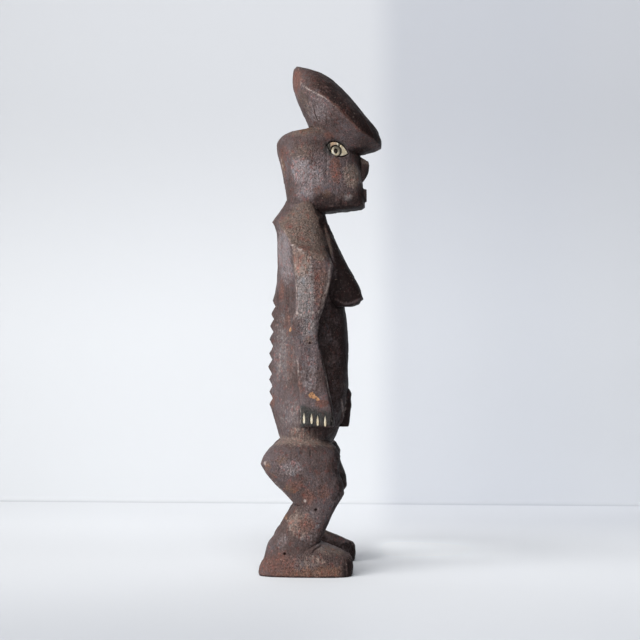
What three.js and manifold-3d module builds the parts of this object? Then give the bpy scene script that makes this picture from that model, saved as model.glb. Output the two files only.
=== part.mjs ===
// A carved wooden power figure: one upright piece of wood with a tilted hat, a toothed spine and
// bent knees. Bone inlays sit in shallow sockets: an eye plate and a pupil ring for each eye, and
// slivers for nails.
// Millimetres, +Z up. The figure faces -Y, so its right hand is at -X. The origin is on the ground,
// under the middle of the outline.
import * as THREE from "three";
import { mergeVertices } from "three/addons/utils/BufferGeometryUtils.js";
import Module from "manifold-3d";

const wasm = await Module();
wasm.setup();

// Driving dimensions
const BOTH_SIDES = [-1, 1]; // the figure's right side, then its left
const GAP = 0.3; // clearance all round an inlay in its socket
const PAST = 1; // how far a cutting form runs on beyond the face it opens
const SAME_POINT = 1e-4; // vertices closer than this are one

// Spine: a row of V notches leaves the teeth standing
const NOTCH = { wide: 11.8, depth: 3.7, reach: 14 };
const NOTCH_HEIGHTS = [214.2, 203.9, 193.4, 181.7, 170.8, 158.9, 148.9, 139.3];

// Back: on each side a plane from the spine out to the back of the arm takes off the shoulder's corner
const BACK_PLANE = { y: 40, turn: 25, low: 238, high: 296, wide: 110, deep: 24 };

// Hat: a rimmed dome on an upturned cone, tipped forward about the centre of its rim
const HAT_TILT = 34.1; // degrees
const HAT_CENTRE = [0, -14.1, 368.4];

// Lips: an oval collar round the open mouth
const MOUTH = { z: 305, half: 11, high: 6.6, tip: -38.5, root: -32, taper: 0.78 };
const MOUTH_OPEN = { half: 6.4, high: 2.2, deep: 4 };

// Eye: an almond socket in the oblique plane beside the nose, slanted down to the nose
const EYE = { x: 20.2, y: -16.3, z: 340.8, turn: 28.4, slant: 17 };
const SOCKET = { half: 10.6, high: 6.3, deep: 2.8, reach: 5 };
const LIDS = { swell: 4 / 3, upperOuter: 0.8, upperNose: 0.3, lower: 0.5 }; // how full its edges are
const PLATE = { shrink: 1.2, thick: 1.6 };
const PUPIL = { along: -1.3, up: -1.9, radius: 3.9, hole: 2.1, thick: 2, gap: 0.8 };
const CRACK = { along: 0.4, wide: 0.8, deep: 1.1, long: 6, lean: -6 }; // across the right plate only

// Hand: five upright nail slots, listed from the back of the hand to its front
const NAIL = { half: 0.95, high: 4.4, shoulder: 0.4, deep: 1.6, proud: 0.2, slotReach: 4 };
const NAIL_PLACES = [
  { y: 9.7, z: 125.8 },
  { y: 3.7, z: 125.5 },
  { y: -1.1, z: 124.1 },
  { y: -7, z: 123.5 },
  { y: -12.4, z: 123 },
];
const LOST_NAIL = 4; // this slot of the right hand is empty

// Toes: the front of each foot parted by grooves
const TOES = { count: 5, splay: 46, top: 14.6, slope: 27 };
const GROOVE = { radius: 1.2, sides: 4, high: 30, ahead: 2, back: 9 };

// Legs: the left thigh stands a little further back than the right one
const THIGH_SET_BACK = { low: 85, by: 2.2 };

// Groin: a rounded form on each side of the member, as half sizes
const GROIN_FORM = { halves: [5, 4.6, 11.4], x: 9.6, y: -16.4, z: 129, around: 14, rings: 10 };

// Facets round each form
const AROUND = { trunk: 28, head: 28, nose: 12, lips: 20, hat: 30, breast: 18, arm: 18 };
const AROUND_LOW = { leg: 22, foot: 26, member: 16, pupil: 18, lid: 7, nail: 3 };

// Materials
const wood = new THREE.MeshStandardMaterial({ color: 0x5a4743, roughness: 0.72, metalness: 0 });
const bone = new THREE.MeshStandardMaterial({ color: 0xd6c8a6, roughness: 0.5, metalness: 0 });

// A closed geometry becomes a solid that can be joined and cut, and a solid becomes a geometry again
function solid(geometry) {
  const bare = geometry.clone();
  bare.deleteAttribute("normal");
  bare.deleteAttribute("uv");
  const merged = mergeVertices(bare, SAME_POINT);
  return new wasm.Manifold(
    new wasm.Mesh({
      numProp: 3,
      vertProperties: new Float32Array(merged.attributes.position.array),
      triVerts: new Uint32Array(merged.index.array),
    }),
  );
}

function geometryOf(manifold) {
  const { vertProperties, triVerts } = manifold.getMesh();
  const geometry = new THREE.BufferGeometry();
  geometry.setAttribute("position", new THREE.BufferAttribute(vertProperties, 3));
  geometry.setIndex(new THREE.BufferAttribute(triVerts, 1));
  geometry.computeVertexNormals();
  return geometry;
}

const join = (parts) => parts.reduce((whole, part) => whole.add(part));
const cut = (body, tools) => tools.reduce((left, tool) => left.subtract(tool), body);
const radians = THREE.MathUtils.degToRad;

const LEAN_PIVOT = 20; // a section that leans turns about this y

// A section reaches from inner to outer across and from front to back along. It is widest at y = middle.
// A power of 2 makes a quarter of it elliptical, more makes it square, less makes it sharp.
// Lean raises it towards the back and cross raises it towards the middle of the body, both as slopes.
function pointOn(section, across, along, side) {
  const { z, front, middle, back, outer, inner = -outer } = section;
  const { backPower, frontPower, lean = 0, cross = 0 } = section;
  const outward = side * across;
  const power = along > 0 ? backPower : frontPower;
  const bulge = (value) => Math.abs(value) ** (2 / power);
  const centre = (outer + inner) / 2;
  const x = centre + ((outer - inner) / 2) * Math.sign(outward) * bulge(outward);
  const y = middle + (along > 0 ? back - middle : front - middle) * bulge(along);
  return [side * x, y, z + lean * (y - LEAN_PIVOT) + cross * (centre - x)];
}

// A closed skin over sections listed from the bottom up, bent out of a cylinder of as many rings
function loft(sections, around, side = 1) {
  const rings = sections.length - 1;
  const skin = new THREE.CylinderGeometry(1, 1, 1, around, rings);
  const place = skin.attributes.position;
  for (let i = 0; i < place.count; i++) {
    const section = sections[Math.round((place.getY(i) + 0.5) * rings)];
    place.setXYZ(i, ...pointOn(section, place.getX(i), -place.getZ(i), side));
  }
  return skin;
}

const table = (columns, rows, shared = {}) =>
  rows.map((row) => ({
    ...shared,
    ...Object.fromEntries(columns.map((name, i) => [name, row[i]])),
  }));

const bothSides = (make) => BOTH_SIDES.map(make);

// The section of a listed body at any height between its first and its last
function sectionAt(sections, z) {
  const next = sections.findIndex((section) => section.z >= z);
  const low = sections[Math.max(next - 1, 0)];
  const high = sections[Math.max(next, 1)];
  const share = (z - low.z) / (high.z - low.z);
  const between = (name) => THREE.MathUtils.lerp(low[name], high[name], share);
  return Object.fromEntries(Object.keys(high).map((name) => [name, between(name)]));
}

// How far a section's quarter still stands out, at a share of the way to its other extreme
const standsOut = (share, power) => (1 - Math.abs(share) ** power) ** (1 / power);

// Trunk, shoulders and neck
const TRUNK = table(
  ["z", "front", "middle", "back", "outer", "frontPower", "backPower", "lean"],
  [
    [100, -9, 10, 29, 30, 2.2, 2.0, 0],
    [108, -13.4, 10, 33.6, 37, 2.4, 1.8, 0],
    [120, -18, 10, 36.8, 39, 2.5, 1.6, 0],
    [134, -21.5, 8, 41.6, 37.5, 2.6, 1.45, 0],
    [148, -23.6, 6, 42.1, 33.5, 2.6, 1.4, 0],
    [164, -23.2, 4, 42.7, 30.5, 2.6, 1.4, 0],
    [182, -24.1, 3, 41.6, 29, 2.6, 1.4, 0],
    [200, -22.4, 3, 41.2, 29, 2.5, 1.45, 0],
    [217, -20, 4, 39.1, 30, 2.4, 1.5, 0],
    [232, -19, 6, 35.7, 32, 2.4, 1.6, 0.06],
    [245, -17.5, 7, 34.6, 35, 2.5, 1.9, 0.2],
    [256, -14.8, 7, 34.2, 40, 2.8, 2.5, 0.34],
    [263, -13, 7, 34.3, 43.6, 3.0, 2.9, 0.38],
    [270, -11, 8, 35.2, 38.5, 3.0, 2.2, 0.34],
    [278, -8.4, 10, 37.3, 32, 2.6, 2.2, 0.16],
    [283.6, -6.6, 11, 39.2, 27, 2.3, 1.8, 0],
    [292, -3.8, 11, 33.2, 22, 2.2, 1.7, 0],
    [301, -2, 11, 26.9, 22.6, 2.2, 2.3, 0],
    [312, -2, 11, 26.3, 22, 2.2, 2.2, 0],
  ],
);
const trunk = loft(TRUNK, AROUND.trunk);

// Head: a block that narrows to a wedge between the eyes
const HEAD = table(
  ["z", "front", "middle", "back", "outer", "frontPower", "backPower", "lean"],
  [
    [288.9, -34.4, -10, 10, 16, 3.6, 2.2, -0.085],
    [292.2, -37.2, -8, 12, 20, 3.6, 2.3, -0.06],
    [301, -37, 2, 26.9, 23, 3.6, 2.3, 0],
    [318, -35, 3, 29.7, 25, 3.2, 2.2, 0],
    [330, -34, 3, 32.2, 26, 2.4, 2.2, 0],
    [341, -33, 4, 35.2, 26, 1.65, 2.2, 0],
    [347.5, -31, 5, 35.2, 25.4, 1.7, 2.1, 0],
    [353, -27, 6, 31.8, 23.4, 1.8, 2.1, 0],
    [357, -22, 6, 24.6, 19.4, 2.0, 2.1, 0],
    [360.2, -16, 4, 9, 12, 2.0, 2.0, 0],
  ],
);
const head = loft(HEAD, AROUND.head);

const NOSE = table(
  ["z", "front", "outer"],
  [
    [316.6, -36.2, 5],
    [319.4, -38.3, 6.6],
    [323.6, -40.2, 6.4],
    [329.8, -40.7, 4.8],
    [333, -40, 3.6],
    [338.4, -31, 2.2],
  ],
  { middle: -30, back: -22, frontPower: 1.8, backPower: 2 },
);
const nose = loft(NOSE, AROUND.nose);

// An oval disc upright in the face, for the lips and for the opening between them
function oval(half, high, from, to, taper = 1) {
  const disc = new THREE.CylinderGeometry(1, taper, to - from, AROUND.lips);
  disc.scale(half, 1, high);
  return disc.translate(0, (from + to) / 2, MOUTH.z);
}
const lips = oval(MOUTH.half, MOUTH.high, MOUTH.tip, MOUTH.root, MOUTH.taper);
const openMouth = oval(
  MOUTH_OPEN.half,
  MOUTH_OPEN.high,
  MOUTH.tip - PAST,
  MOUTH.tip + MOUTH_OPEN.deep,
);

// Hat, in its own frame: z stands off the rim's plane and y runs back along it
const HAT = table(
  ["z", "front", "middle", "back", "outer"],
  [
    [-24, -22, -8, 5.8, 12],
    [-18.5, -28.5, -7, 15.8, 18],
    [-12, -35.2, -6, 25.9, 27],
    [-5.6, -40.8, -4, 36, 35],
    [0, -44, -3, 43.4, 41.5],
    [5, -41.3, 0, 47.5, 39],
    [10, -33.6, 5, 50.5, 35],
    [13, -22.9, 10, 51.9, 31.5],
    [16.6, -12.4, 16, 51.2, 26.5],
    [20.2, -1.2, 20, 43.4, 19.5],
    [22.8, 11, 23, 35.5, 11],
    [24, 20, 25.5, 31, 4],
  ],
  { frontPower: 2.1, backPower: 2.1 },
);
const hat = loft(HAT, AROUND.hat);
hat.rotateX(radians(HAT_TILT));
hat.translate(...HAT_CENTRE);

// Breasts: two cones that hang to blunt tips
const BREAST = table(
  ["z", "front", "middle", "back", "inner", "outer"],
  [
    [213.9, -27.2, -20, -12, 11, 24],
    [215.9, -32.2, -20, -8, 8.5, 26],
    [220.3, -35.7, -18, -4, 6, 27.8],
    [226.2, -34.2, -16, 0, 3.6, 29],
    [231.7, -32.1, -14, 4, 2, 29.4],
    [242.7, -25.9, -10, 6, 1.4, 29.6],
    [254.4, -19.6, -6, 8, 2, 28.4],
    [267.8, -13.2, -2, 8, 3.4, 25],
    [282, -7, 2, 8, 6, 19],
  ],
  { frontPower: 2.1, backPower: 2 },
);
const breasts = bothSides((side) => loft(BREAST, AROUND.breast, side));

// Arms
const ARM = table(
  ["z", "front", "middle", "back", "inner", "outer", "frontPower", "backPower", "lean"],
  [
    [118.4, -13.4, 0.6, 13.6, 28, 45.4, 5, 5, 0],
    [120.6, -14.4, 0.6, 14.2, 28, 47, 5, 5, 0],
    [134, -12.6, 1.6, 13.6, 29, 47.4, 5, 5, 0],
    [148, -9.8, 2.6, 14, 31, 46.6, 4, 5, 0],
    [158, -8, 3.6, 15.1, 34.4, 46.4, 3.4, 5, 0],
    [173, -4.8, 5.6, 16.6, 35, 47, 3, 5, 0],
    [187, -1.8, 7.6, 17.4, 34.6, 47.8, 3, 4.4, 0],
    [194.6, -1.4, 9.6, 22.3, 34.4, 48, 3.4, 3, 0],
    [202.4, -2.2, 8.6, 19.6, 34.2, 48, 3.8, 3.6, 0],
    [213, -5.6, 6.6, 16.6, 34, 47.8, 4, 4.4, 0],
    [226, -9.6, 5.6, 16.6, 33.6, 47.4, 4, 4.4, 0],
    [242, -12.4, 4.6, 18, 31, 47, 4, 4.4, 0.12],
    [254, -13.6, 4.6, 20.3, 27, 46.8, 3.6, 4.4, 0.26],
    [263, -11.3, 4.6, 20.6, 22, 45.6, 2.8, 3.6, 0.38],
    [271, -6.8, 6.6, 22.6, 16, 36, 2.6, 3.2, 0.38],
  ],
);
const arms = bothSides((side) => loft(ARM, AROUND.arm, side));

// Legs
const LEG = table(
  ["z", "front", "middle", "back", "inner", "outer"],
  [
    [5, -2, 16, 42, 22, 46],
    [15, 5, 20, 41.2, 22, 46.2],
    [26, -1.6, 15, 38.8, 21, 44.8],
    [34, -6.2, 9, 33, 20.4, 43.6],
    [40, -8.8, 6, 30.2, 20, 43],
    [48, -12.2, 3, 25.8, 19.4, 42.6],
    [55.8, -16.4, 0, 18.6, 18.6, 42.6],
    [64, -21.4, -1, 26.4, 17.4, 44],
    [72.6, -21, 1, 35.4, 16, 45.4],
    [80, -17.6, 4, 42, 14, 46.4],
    [87.6, -17.4, 7, 46, 11.4, 47],
    [94, -18.2, 9, 44.2, 8, 46.6],
    [101, -14.8, 10, 38.8, 4, 44.6],
    [105.2, -8.4, 10, 33, 0.6, 41.6],
    [107.6, -5, 10, 27, 2, 36],
  ],
  { frontPower: 2.3, backPower: 2.1 },
);
const setBack = (section) =>
  section.z < THIGH_SET_BACK.low ? section : { ...section, front: section.front + THIGH_SET_BACK.by };
const legs = bothSides((side) => loft(side < 0 ? LEG : LEG.map(setBack), AROUND_LOW.leg, side));

// Feet
const FOOT = table(
  ["z", "front", "middle", "back", "inner", "outer", "cross"],
  [
    [0, -27.2, 6, 46.2, 23, 48.2, 0],
    [1.6, -28.2, 6, 47, 22.6, 48.7, 0],
    [7.3, -28.8, 6, 46.4, 22.4, 48.6, 0],
    [13.4, -28.2, 6, 43, 22.6, 47.9, 0.06],
    [15.8, -26.4, 6, 42.2, 22.6, 47.4, 0.14],
    [19.6, -17.8, 8, 41.4, 23, 46, 0.22],
    [24, -7.6, 10, 39.8, 23.4, 43.4, 0.2],
    [28, 2.4, 14, 37.6, 24.4, 40, 0.1],
  ],
  { frontPower: 3, backPower: 3 },
);
const feet = bothSides((side) => loft(FOOT, AROUND_LOW.foot, side));

// Groin: a blunt member with a rounded form on each side of it
const MEMBER = table(
  ["z", "front", "outer"],
  [
    [115.8, -23.6, 4.6],
    [117.2, -24.4, 5.4],
    [128, -25.6, 6],
    [133, -26.3, 6.2],
    [139.4, -25.9, 6.6],
    [142.6, -26.4, 7.4],
    [146.4, -24.4, 7],
  ],
  { middle: -20, back: -17, frontPower: 3, backPower: 3 },
);
const member = loft(MEMBER, AROUND_LOW.member);
const groinForms = bothSides((side) => {
  const form = new THREE.SphereGeometry(1, GROIN_FORM.around, GROIN_FORM.rings);
  form.scale(...GROIN_FORM.halves);
  return form.translate(side * GROIN_FORM.x, GROIN_FORM.y, GROIN_FORM.z);
});

// Back planes: each is the near face of a block that stands behind the figure
const backPlanes = bothSides((side) => {
  const { y, turn, low, high, wide, deep } = BACK_PLANE;
  const block = new THREE.BoxGeometry(wide, deep, high - low);
  block.translate(0, deep / 2, (low + high) / 2);
  block.rotateZ(-side * radians(turn));
  return block.translate(0, y, 0);
});

// Spine notches: each is a wedge laid across the ridge of the back, its edge inwards
const notches = NOTCH_HEIGHTS.map((z) => {
  const wedge = new THREE.Shape([
    new THREE.Vector2(0, 0),
    new THREE.Vector2(2 * NOTCH.depth, -NOTCH.wide),
    new THREE.Vector2(2 * NOTCH.depth, NOTCH.wide),
  ]);
  const bar = new THREE.ExtrudeGeometry(wedge, { depth: 2 * NOTCH.reach, bevelEnabled: false });
  bar.rotateX(Math.PI / 2);
  bar.rotateZ(Math.PI / 2);
  bar.translate(-NOTCH.reach, sectionAt(TRUNK, z).back - NOTCH.depth, z);
  return bar;
});

// Toe grooves: each runs up the front of the foot and a little way back over it
function toeGroove(side, index) {
  const { front, middle, inner, outer, frontPower } = sectionAt(FOOT, TOES.top / 2);
  const x = THREE.MathUtils.lerp(inner, outer, index / TOES.count);
  const share = (2 * x - inner - outer) / (outer - inner);
  const y = middle + (front - middle) * standsOut(share, frontPower);
  const upright = new THREE.CylinderGeometry(GROOVE.radius, GROOVE.radius, GROOVE.high, GROOVE.sides);
  upright.rotateX(Math.PI / 2);
  const over = new THREE.CylinderGeometry(GROOVE.radius, GROOVE.radius, GROOVE.back, GROOVE.sides);
  over.translate(0, GROOVE.back / 2 - GROOVE.ahead, 0);
  over.rotateX(radians(TOES.slope));
  over.translate(0, 0, TOES.top);
  return [upright, over].map((groove) => {
    groove.rotateZ(side * radians(TOES.splay) * share ** 3);
    groove.translate(side * x, y, 0);
    return groove;
  });
}
const toeGrooves = bothSides((side) =>
  Array.from({ length: TOES.count - 1 }, (_, i) => toeGroove(side, i + 1)),
).flat(2);

// Eyes are drawn flat, with x along the almond, y up it and z out of the face, then stood in the face
function standEye(geometry, side) {
  const turn = radians(EYE.turn);
  const out = new THREE.Vector3(side * Math.cos(turn), -Math.sin(turn), 0);
  const up = new THREE.Vector3(0, 0, 1);
  const across = new THREE.Vector3().crossVectors(up, out);
  geometry.rotateZ(side * radians(EYE.slant));
  geometry.applyMatrix4(new THREE.Matrix4().makeBasis(across, up, out));
  return geometry.translate(side * EYE.x, EYE.y, EYE.z);
}

// An almond with its sharper corner to the nose, as thick as asked and standing on z = from
function almond(side, shrink, from, thick) {
  const nose = -side * (SOCKET.half - shrink);
  const high = LIDS.swell * (SOCKET.high - shrink);
  const outline = new THREE.Shape();
  outline.moveTo(-nose, 0);
  outline.bezierCurveTo(-nose * LIDS.upperOuter, high, nose * LIDS.upperNose, high, nose, 0);
  outline.bezierCurveTo(nose * LIDS.lower, -high, -nose * LIDS.lower, -high, -nose, 0);
  const asked = { depth: thick, bevelEnabled: false, curveSegments: AROUND_LOW.lid };
  return new THREE.ExtrudeGeometry(outline, asked).translate(0, 0, from);
}

const eyeSockets = bothSides((side) =>
  standEye(almond(side, 0, -SOCKET.deep, SOCKET.deep + SOCKET.reach), side),
);

function pupilRound(side, radius, from, thick) {
  const round = new THREE.CylinderGeometry(radius, radius, thick, AROUND_LOW.pupil);
  round.rotateX(Math.PI / 2);
  return standEye(round.translate(-side * PUPIL.along, PUPIL.up, from + thick / 2), side);
}

const PLATE_FROM = GAP - SOCKET.deep;

function eyePlate(side) {
  const plate = solid(standEye(almond(side, PLATE.shrink, PLATE_FROM, PLATE.thick), side));
  const seat = solid(pupilRound(side, PUPIL.radius + PUPIL.gap, PLATE_FROM - PAST, PLATE.thick + 2 * PAST));
  if (side > 0) {
    return plate.subtract(seat);
  }
  const crack = new THREE.BoxGeometry(CRACK.wide, CRACK.long, 2 * CRACK.deep);
  crack.translate(0, CRACK.long / 2, 0);
  crack.rotateZ(radians(CRACK.lean));
  crack.translate(CRACK.along, 0, PLATE_FROM + PLATE.thick);
  return cut(plate, [seat, solid(standEye(crack, side))]);
}

function eyeRing(side) {
  const ring = solid(pupilRound(side, PUPIL.radius, PLATE_FROM, PUPIL.thick));
  return ring.subtract(solid(pupilRound(side, PUPIL.hole, PLATE_FROM - PAST, PUPIL.thick + 2 * PAST)));
}

// Nails: pointed ovals let into the outer face of each hand
function nailBlock(side, place, grow, proud) {
  const half = NAIL.half + grow;
  const high = NAIL.high + grow;
  const outline = new THREE.Shape();
  outline.moveTo(0, high);
  const shoulder = NAIL.shoulder * high;
  outline.quadraticCurveTo(half, shoulder, half, -shoulder);
  outline.quadraticCurveTo(half, -high, 0, -high);
  outline.quadraticCurveTo(-half, -high, -half, -shoulder);
  outline.quadraticCurveTo(-half, shoulder, 0, high);
  const { front, middle, back, inner, outer, frontPower, backPower } = sectionAt(ARM, place.z);
  const behind = place.y > middle;
  const share = (place.y - middle) / ((behind ? back : front) - middle);
  const halfWidth = (outer - inner) / 2;
  const face = outer - halfWidth + halfWidth * standsOut(share, behind ? backPower : frontPower);
  const floor = face - NAIL.deep - grow;
  const depth = face + proud - floor;
  const asked = { depth, bevelEnabled: false, curveSegments: AROUND_LOW.nail };
  const block = new THREE.ExtrudeGeometry(outline, asked);
  block.rotateX(Math.PI / 2);
  block.rotateZ((side * Math.PI) / 2);
  return block.translate(side * floor, place.y, place.z);
}
const nailSlots = bothSides((side) =>
  NAIL_PLACES.map((place) => nailBlock(side, place, GAP, NAIL.slotReach)),
).flat();

// The carving as one piece of wood
const masses = [trunk, head, nose, lips, hat, member, ...arms, ...legs, ...feet, ...breasts, ...groinForms];
const hollows = [openMouth, ...backPlanes, ...notches, ...toeGrooves, ...eyeSockets, ...nailSlots];
const carved = cut(join(masses.map(solid)), hollows.map(solid));

// Nodes
const powerFigure = new THREE.Group();
powerFigure.name = "power_figure";

function addPiece(name, manifold, material) {
  const piece = new THREE.Mesh(geometryOf(manifold), material);
  piece.name = name;
  powerFigure.add(piece);
}

addPiece("carved_figure", carved, wood);
for (const side of BOTH_SIDES) {
  const label = side < 0 ? "right" : "left";
  addPiece(`${label}_eye_plate`, eyePlate(side), bone);
  addPiece(`${label}_eye_ring`, eyeRing(side), bone);
  NAIL_PLACES.forEach((place, i) => {
    if (side > 0 || i !== LOST_NAIL) {
      addPiece(`${label}_nail_${i + 1}`, solid(nailBlock(side, place, 0, NAIL.proud)), bone);
    }
  });
}

// The origin goes to the middle of the whole outline, on the ground
const bounds = new THREE.Box3().setFromObject(powerFigure);
const middle = bounds.getCenter(new THREE.Vector3());
powerFigure.position.set(-middle.x, -middle.y, -bounds.min.z);

export default powerFigure;
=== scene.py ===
# %% [markdown]
# # A carved power figure
#
# The real figure is one upright length of dense, dark wood, worked with an adze and a knife and
# then handled, smoked and rubbed for years. Eyes and fingernails of bone are let into it.
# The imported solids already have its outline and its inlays. This script gives them the skin that
# such a carving has: rounded forms with faint knife facets, open grain, drying cracks, borer
# holes, chips, and a patina that is worn at the arrises and dark in the hollows.

import bmesh
import bpy
import numpy as np
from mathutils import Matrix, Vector, noise
from mathutils.bvhtree import BVHTree
from mathutils.kdtree import KDTree


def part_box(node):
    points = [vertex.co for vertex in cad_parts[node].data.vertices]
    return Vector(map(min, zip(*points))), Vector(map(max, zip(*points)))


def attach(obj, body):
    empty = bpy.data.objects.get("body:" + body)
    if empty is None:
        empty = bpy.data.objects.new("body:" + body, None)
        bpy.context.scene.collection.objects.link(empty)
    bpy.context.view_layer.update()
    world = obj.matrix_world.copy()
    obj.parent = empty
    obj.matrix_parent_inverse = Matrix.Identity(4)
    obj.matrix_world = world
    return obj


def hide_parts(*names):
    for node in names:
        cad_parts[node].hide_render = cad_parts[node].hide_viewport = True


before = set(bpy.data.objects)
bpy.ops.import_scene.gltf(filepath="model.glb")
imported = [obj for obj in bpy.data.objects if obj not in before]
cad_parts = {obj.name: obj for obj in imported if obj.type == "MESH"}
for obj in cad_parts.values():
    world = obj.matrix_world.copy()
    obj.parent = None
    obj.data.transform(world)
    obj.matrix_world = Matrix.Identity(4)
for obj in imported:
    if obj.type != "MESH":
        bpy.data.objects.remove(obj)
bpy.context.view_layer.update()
MM = 0.001
WOOD_NODE = "carved_figure"
INLAY_NODES = sorted(set(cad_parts) - {WOOD_NODE})

# %% [markdown]
# ## The studio
#
# A dark carving shows its form by the light that slides over it. A large soft window stands to the
# left, behind the figure's back, with a pale curtain beside it, so that the back, the arm and the
# outer thigh are lit and the front falls away into shade. A pale ceiling above the camera lights
# the floor and fills the shadows. The floor runs up into a pale wall. Both end a little past the
# right of the picture, so that they throw less light on the shaded front. The lens is long, as for
# a photograph of an object.

# %% Camera
CAMERA_AT = (-1148.2, -62.4, 203.1)
CAMERA_AIM = (0.0, 1.8, 203.1)
LENS = 78.75
SENSOR = 36.0
CAMERA_CLEAR = 50.0


def turned_to(place, aim):
    """The rotation that makes a camera or a lamp at place look at aim."""
    return (Vector(aim) - Vector(place)).to_track_quat("-Z", "Y").to_euler()


camera = bpy.data.objects.new("camera", bpy.data.cameras.new("camera"))
bpy.context.scene.collection.objects.link(camera)
camera.location = Vector(CAMERA_AT) * MM
camera.rotation_euler = turned_to(CAMERA_AT, CAMERA_AIM)
camera.data.lens = LENS
camera.data.sensor_width = SENSOR
camera.data.clip_start = CAMERA_CLEAR * MM
bpy.context.scene.camera = camera

# %% Lamps and world
LAMPS = {
    "window": {"at": (-820, 1560, 400), "size": 1900, "watts": 25.8, "tint": (1.0, 0.985, 0.965)},
    "curtain": {"at": (-1050, 1050, 600), "size": 1500, "watts": 15.5, "tint": (1.0, 0.99, 0.98)},
    "ceiling": {"at": (-900, 300, 1100), "size": 2000, "watts": 23.2, "tint": (0.97, 0.985, 1.0)},
}
LAMP_AIM = (0, 0, 190)
WORLD_TINT = (0.80, 0.87, 1.0, 1.0)
WORLD_STRENGTH = 0.035

for name, lamp in LAMPS.items():
    data = bpy.data.lights.new(name, "AREA")
    data.shape = "DISK"
    data.size = lamp["size"] * MM
    data.energy = lamp["watts"]
    data.color = lamp["tint"]
    made = bpy.data.objects.new(name, data)
    made.location = Vector(lamp["at"]) * MM
    made.rotation_euler = turned_to(lamp["at"], LAMP_AIM)
    bpy.context.scene.collection.objects.link(made)

world = bpy.data.worlds.new("studio")
world.use_nodes = True
sky = world.node_tree.nodes["Background"]
sky.inputs["Color"].default_value = WORLD_TINT
sky.inputs["Strength"].default_value = WORLD_STRENGTH
bpy.context.scene.world = world
bpy.context.scene.view_settings.view_transform = "Standard"
print("lamps:", ", ".join(LAMPS))

# %% [markdown]
# ## Node helpers
#
# Every finish below is a small tree of shader nodes. A few helpers keep those trees short: the
# first adds a node and fills or links its sockets, and the next ones are its most common uses. The
# last two start and place a node group with named sockets, so that an effect is built once and
# stands in each material with its own values.


# %% Node helpers
def add(tree, kind, settings=None, **sockets):
    """Adds a node. A socket's value is a number, a colour or another node's output."""
    made = tree.nodes.new(kind)
    for key, value in (settings or {}).items():
        setattr(made, key, value)
    for key, value in sockets.items():
        name = key.replace("_", " ")
        socket = made.inputs[int(name[1:])] if name[1:].isdigit() else made.inputs[name]
        if isinstance(value, bpy.types.NodeSocket):
            tree.links.new(value, socket)
        else:
            socket.default_value = value
    return made


def sums(tree, operation, first, second):
    """One Math node."""
    return add(tree, "ShaderNodeMath", {"operation": operation}, i0=first, i1=second).outputs[0]


def scaled(tree, value, *factors):
    """A value times each of its factors."""
    for factor in factors:
        value = sums(tree, "MULTIPLY", value, factor)
    return value


def vectors(tree, operation, *values):
    """One Vector Math node."""
    sockets = {f"i{number}": value for number, value in enumerate(values)}
    return add(tree, "ShaderNodeVectorMath", {"operation": operation}, **sockets).outputs[0]


def mixed(tree, amount, under, over, blend="MIX"):
    """Lays one colour over another by an amount."""
    settings = {"data_type": "RGBA", "blend_type": blend}
    return add(tree, "ShaderNodeMix", settings, i0=amount, i6=under, i7=over).outputs[2]


def ramped(tree, value, low, high):
    """Spreads the span from low to high smoothly over 0 to 1."""
    settings = {"interpolation_type": "SMOOTHSTEP"}
    made = add(tree, "ShaderNodeMapRange", settings, Value=value, From_Min=low, From_Max=high)
    return made.outputs[0]


def spanned(tree, value, low=0.0, high=1.0, to_low=0.0, to_high=1.0):
    """Spreads one span evenly over another."""
    sockets = {"From_Min": low, "From_Max": high, "To_Min": to_low, "To_Max": to_high}
    return add(tree, "ShaderNodeMapRange", Value=value, **sockets).outputs[0]


def noise_at(tree, place, scale, detail=2.0, roughness=0.5):
    """A noise from 0 to 1."""
    sockets = {"Vector": place, "Scale": scale, "Detail": detail, "Roughness": roughness}
    return add(tree, "ShaderNodeTexNoise", **sockets).outputs["Fac"]


def attribute(tree, name):
    """A measure or a mask that the mesh carries."""
    return add(tree, "ShaderNodeAttribute", {"attribute_name": name}).outputs["Fac"]


def start_group(name, inputs, outputs):
    """A node group with float or vector sockets, its input node and its output node."""
    tree = bpy.data.node_groups.new(name, "ShaderNodeTree")
    for socket, (kind, value) in inputs.items():
        made = tree.interface.new_socket(socket, in_out="INPUT", socket_type=kind)
        if value is not None:
            made.default_value = value
    for socket in outputs:
        tree.interface.new_socket(socket, in_out="OUTPUT", socket_type="NodeSocketFloat")
    return tree, tree.nodes.new("NodeGroupInput"), tree.nodes.new("NodeGroupOutput")


def place_group(tree, group, **sockets):
    """Places a node group in a material."""
    made = tree.nodes.new("ShaderNodeGroup")
    made.node_tree = group
    for key, value in sockets.items():
        if isinstance(value, bpy.types.NodeSocket):
            tree.links.new(value, made.inputs[key])
        else:
            made.inputs[key].default_value = value
    return made.outputs


FLOAT = "NodeSocketFloat"
VECTOR = "NodeSocketVector"

# %% [markdown]
# ## Fibre
#
# Wood and bone both have a grain that runs along the piece: dark pores and pale bundles, far
# longer than they are wide. Noise that is squeezed across the grain and stretched along it gives
# both, and a slow sideways drift keeps the lines from being ruled. The whole figure is cut from
# one upright log, so its grain runs along Z.

# %% Fibre group
DRIFT = {"size": 30.0, "by": (0.004, 0.004, 0.0)}
FIBRES = {"Fine": {"scale": 1.0, "detail": 3.0}, "Broad": {"scale": 0.16, "detail": 2.0}}

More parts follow.
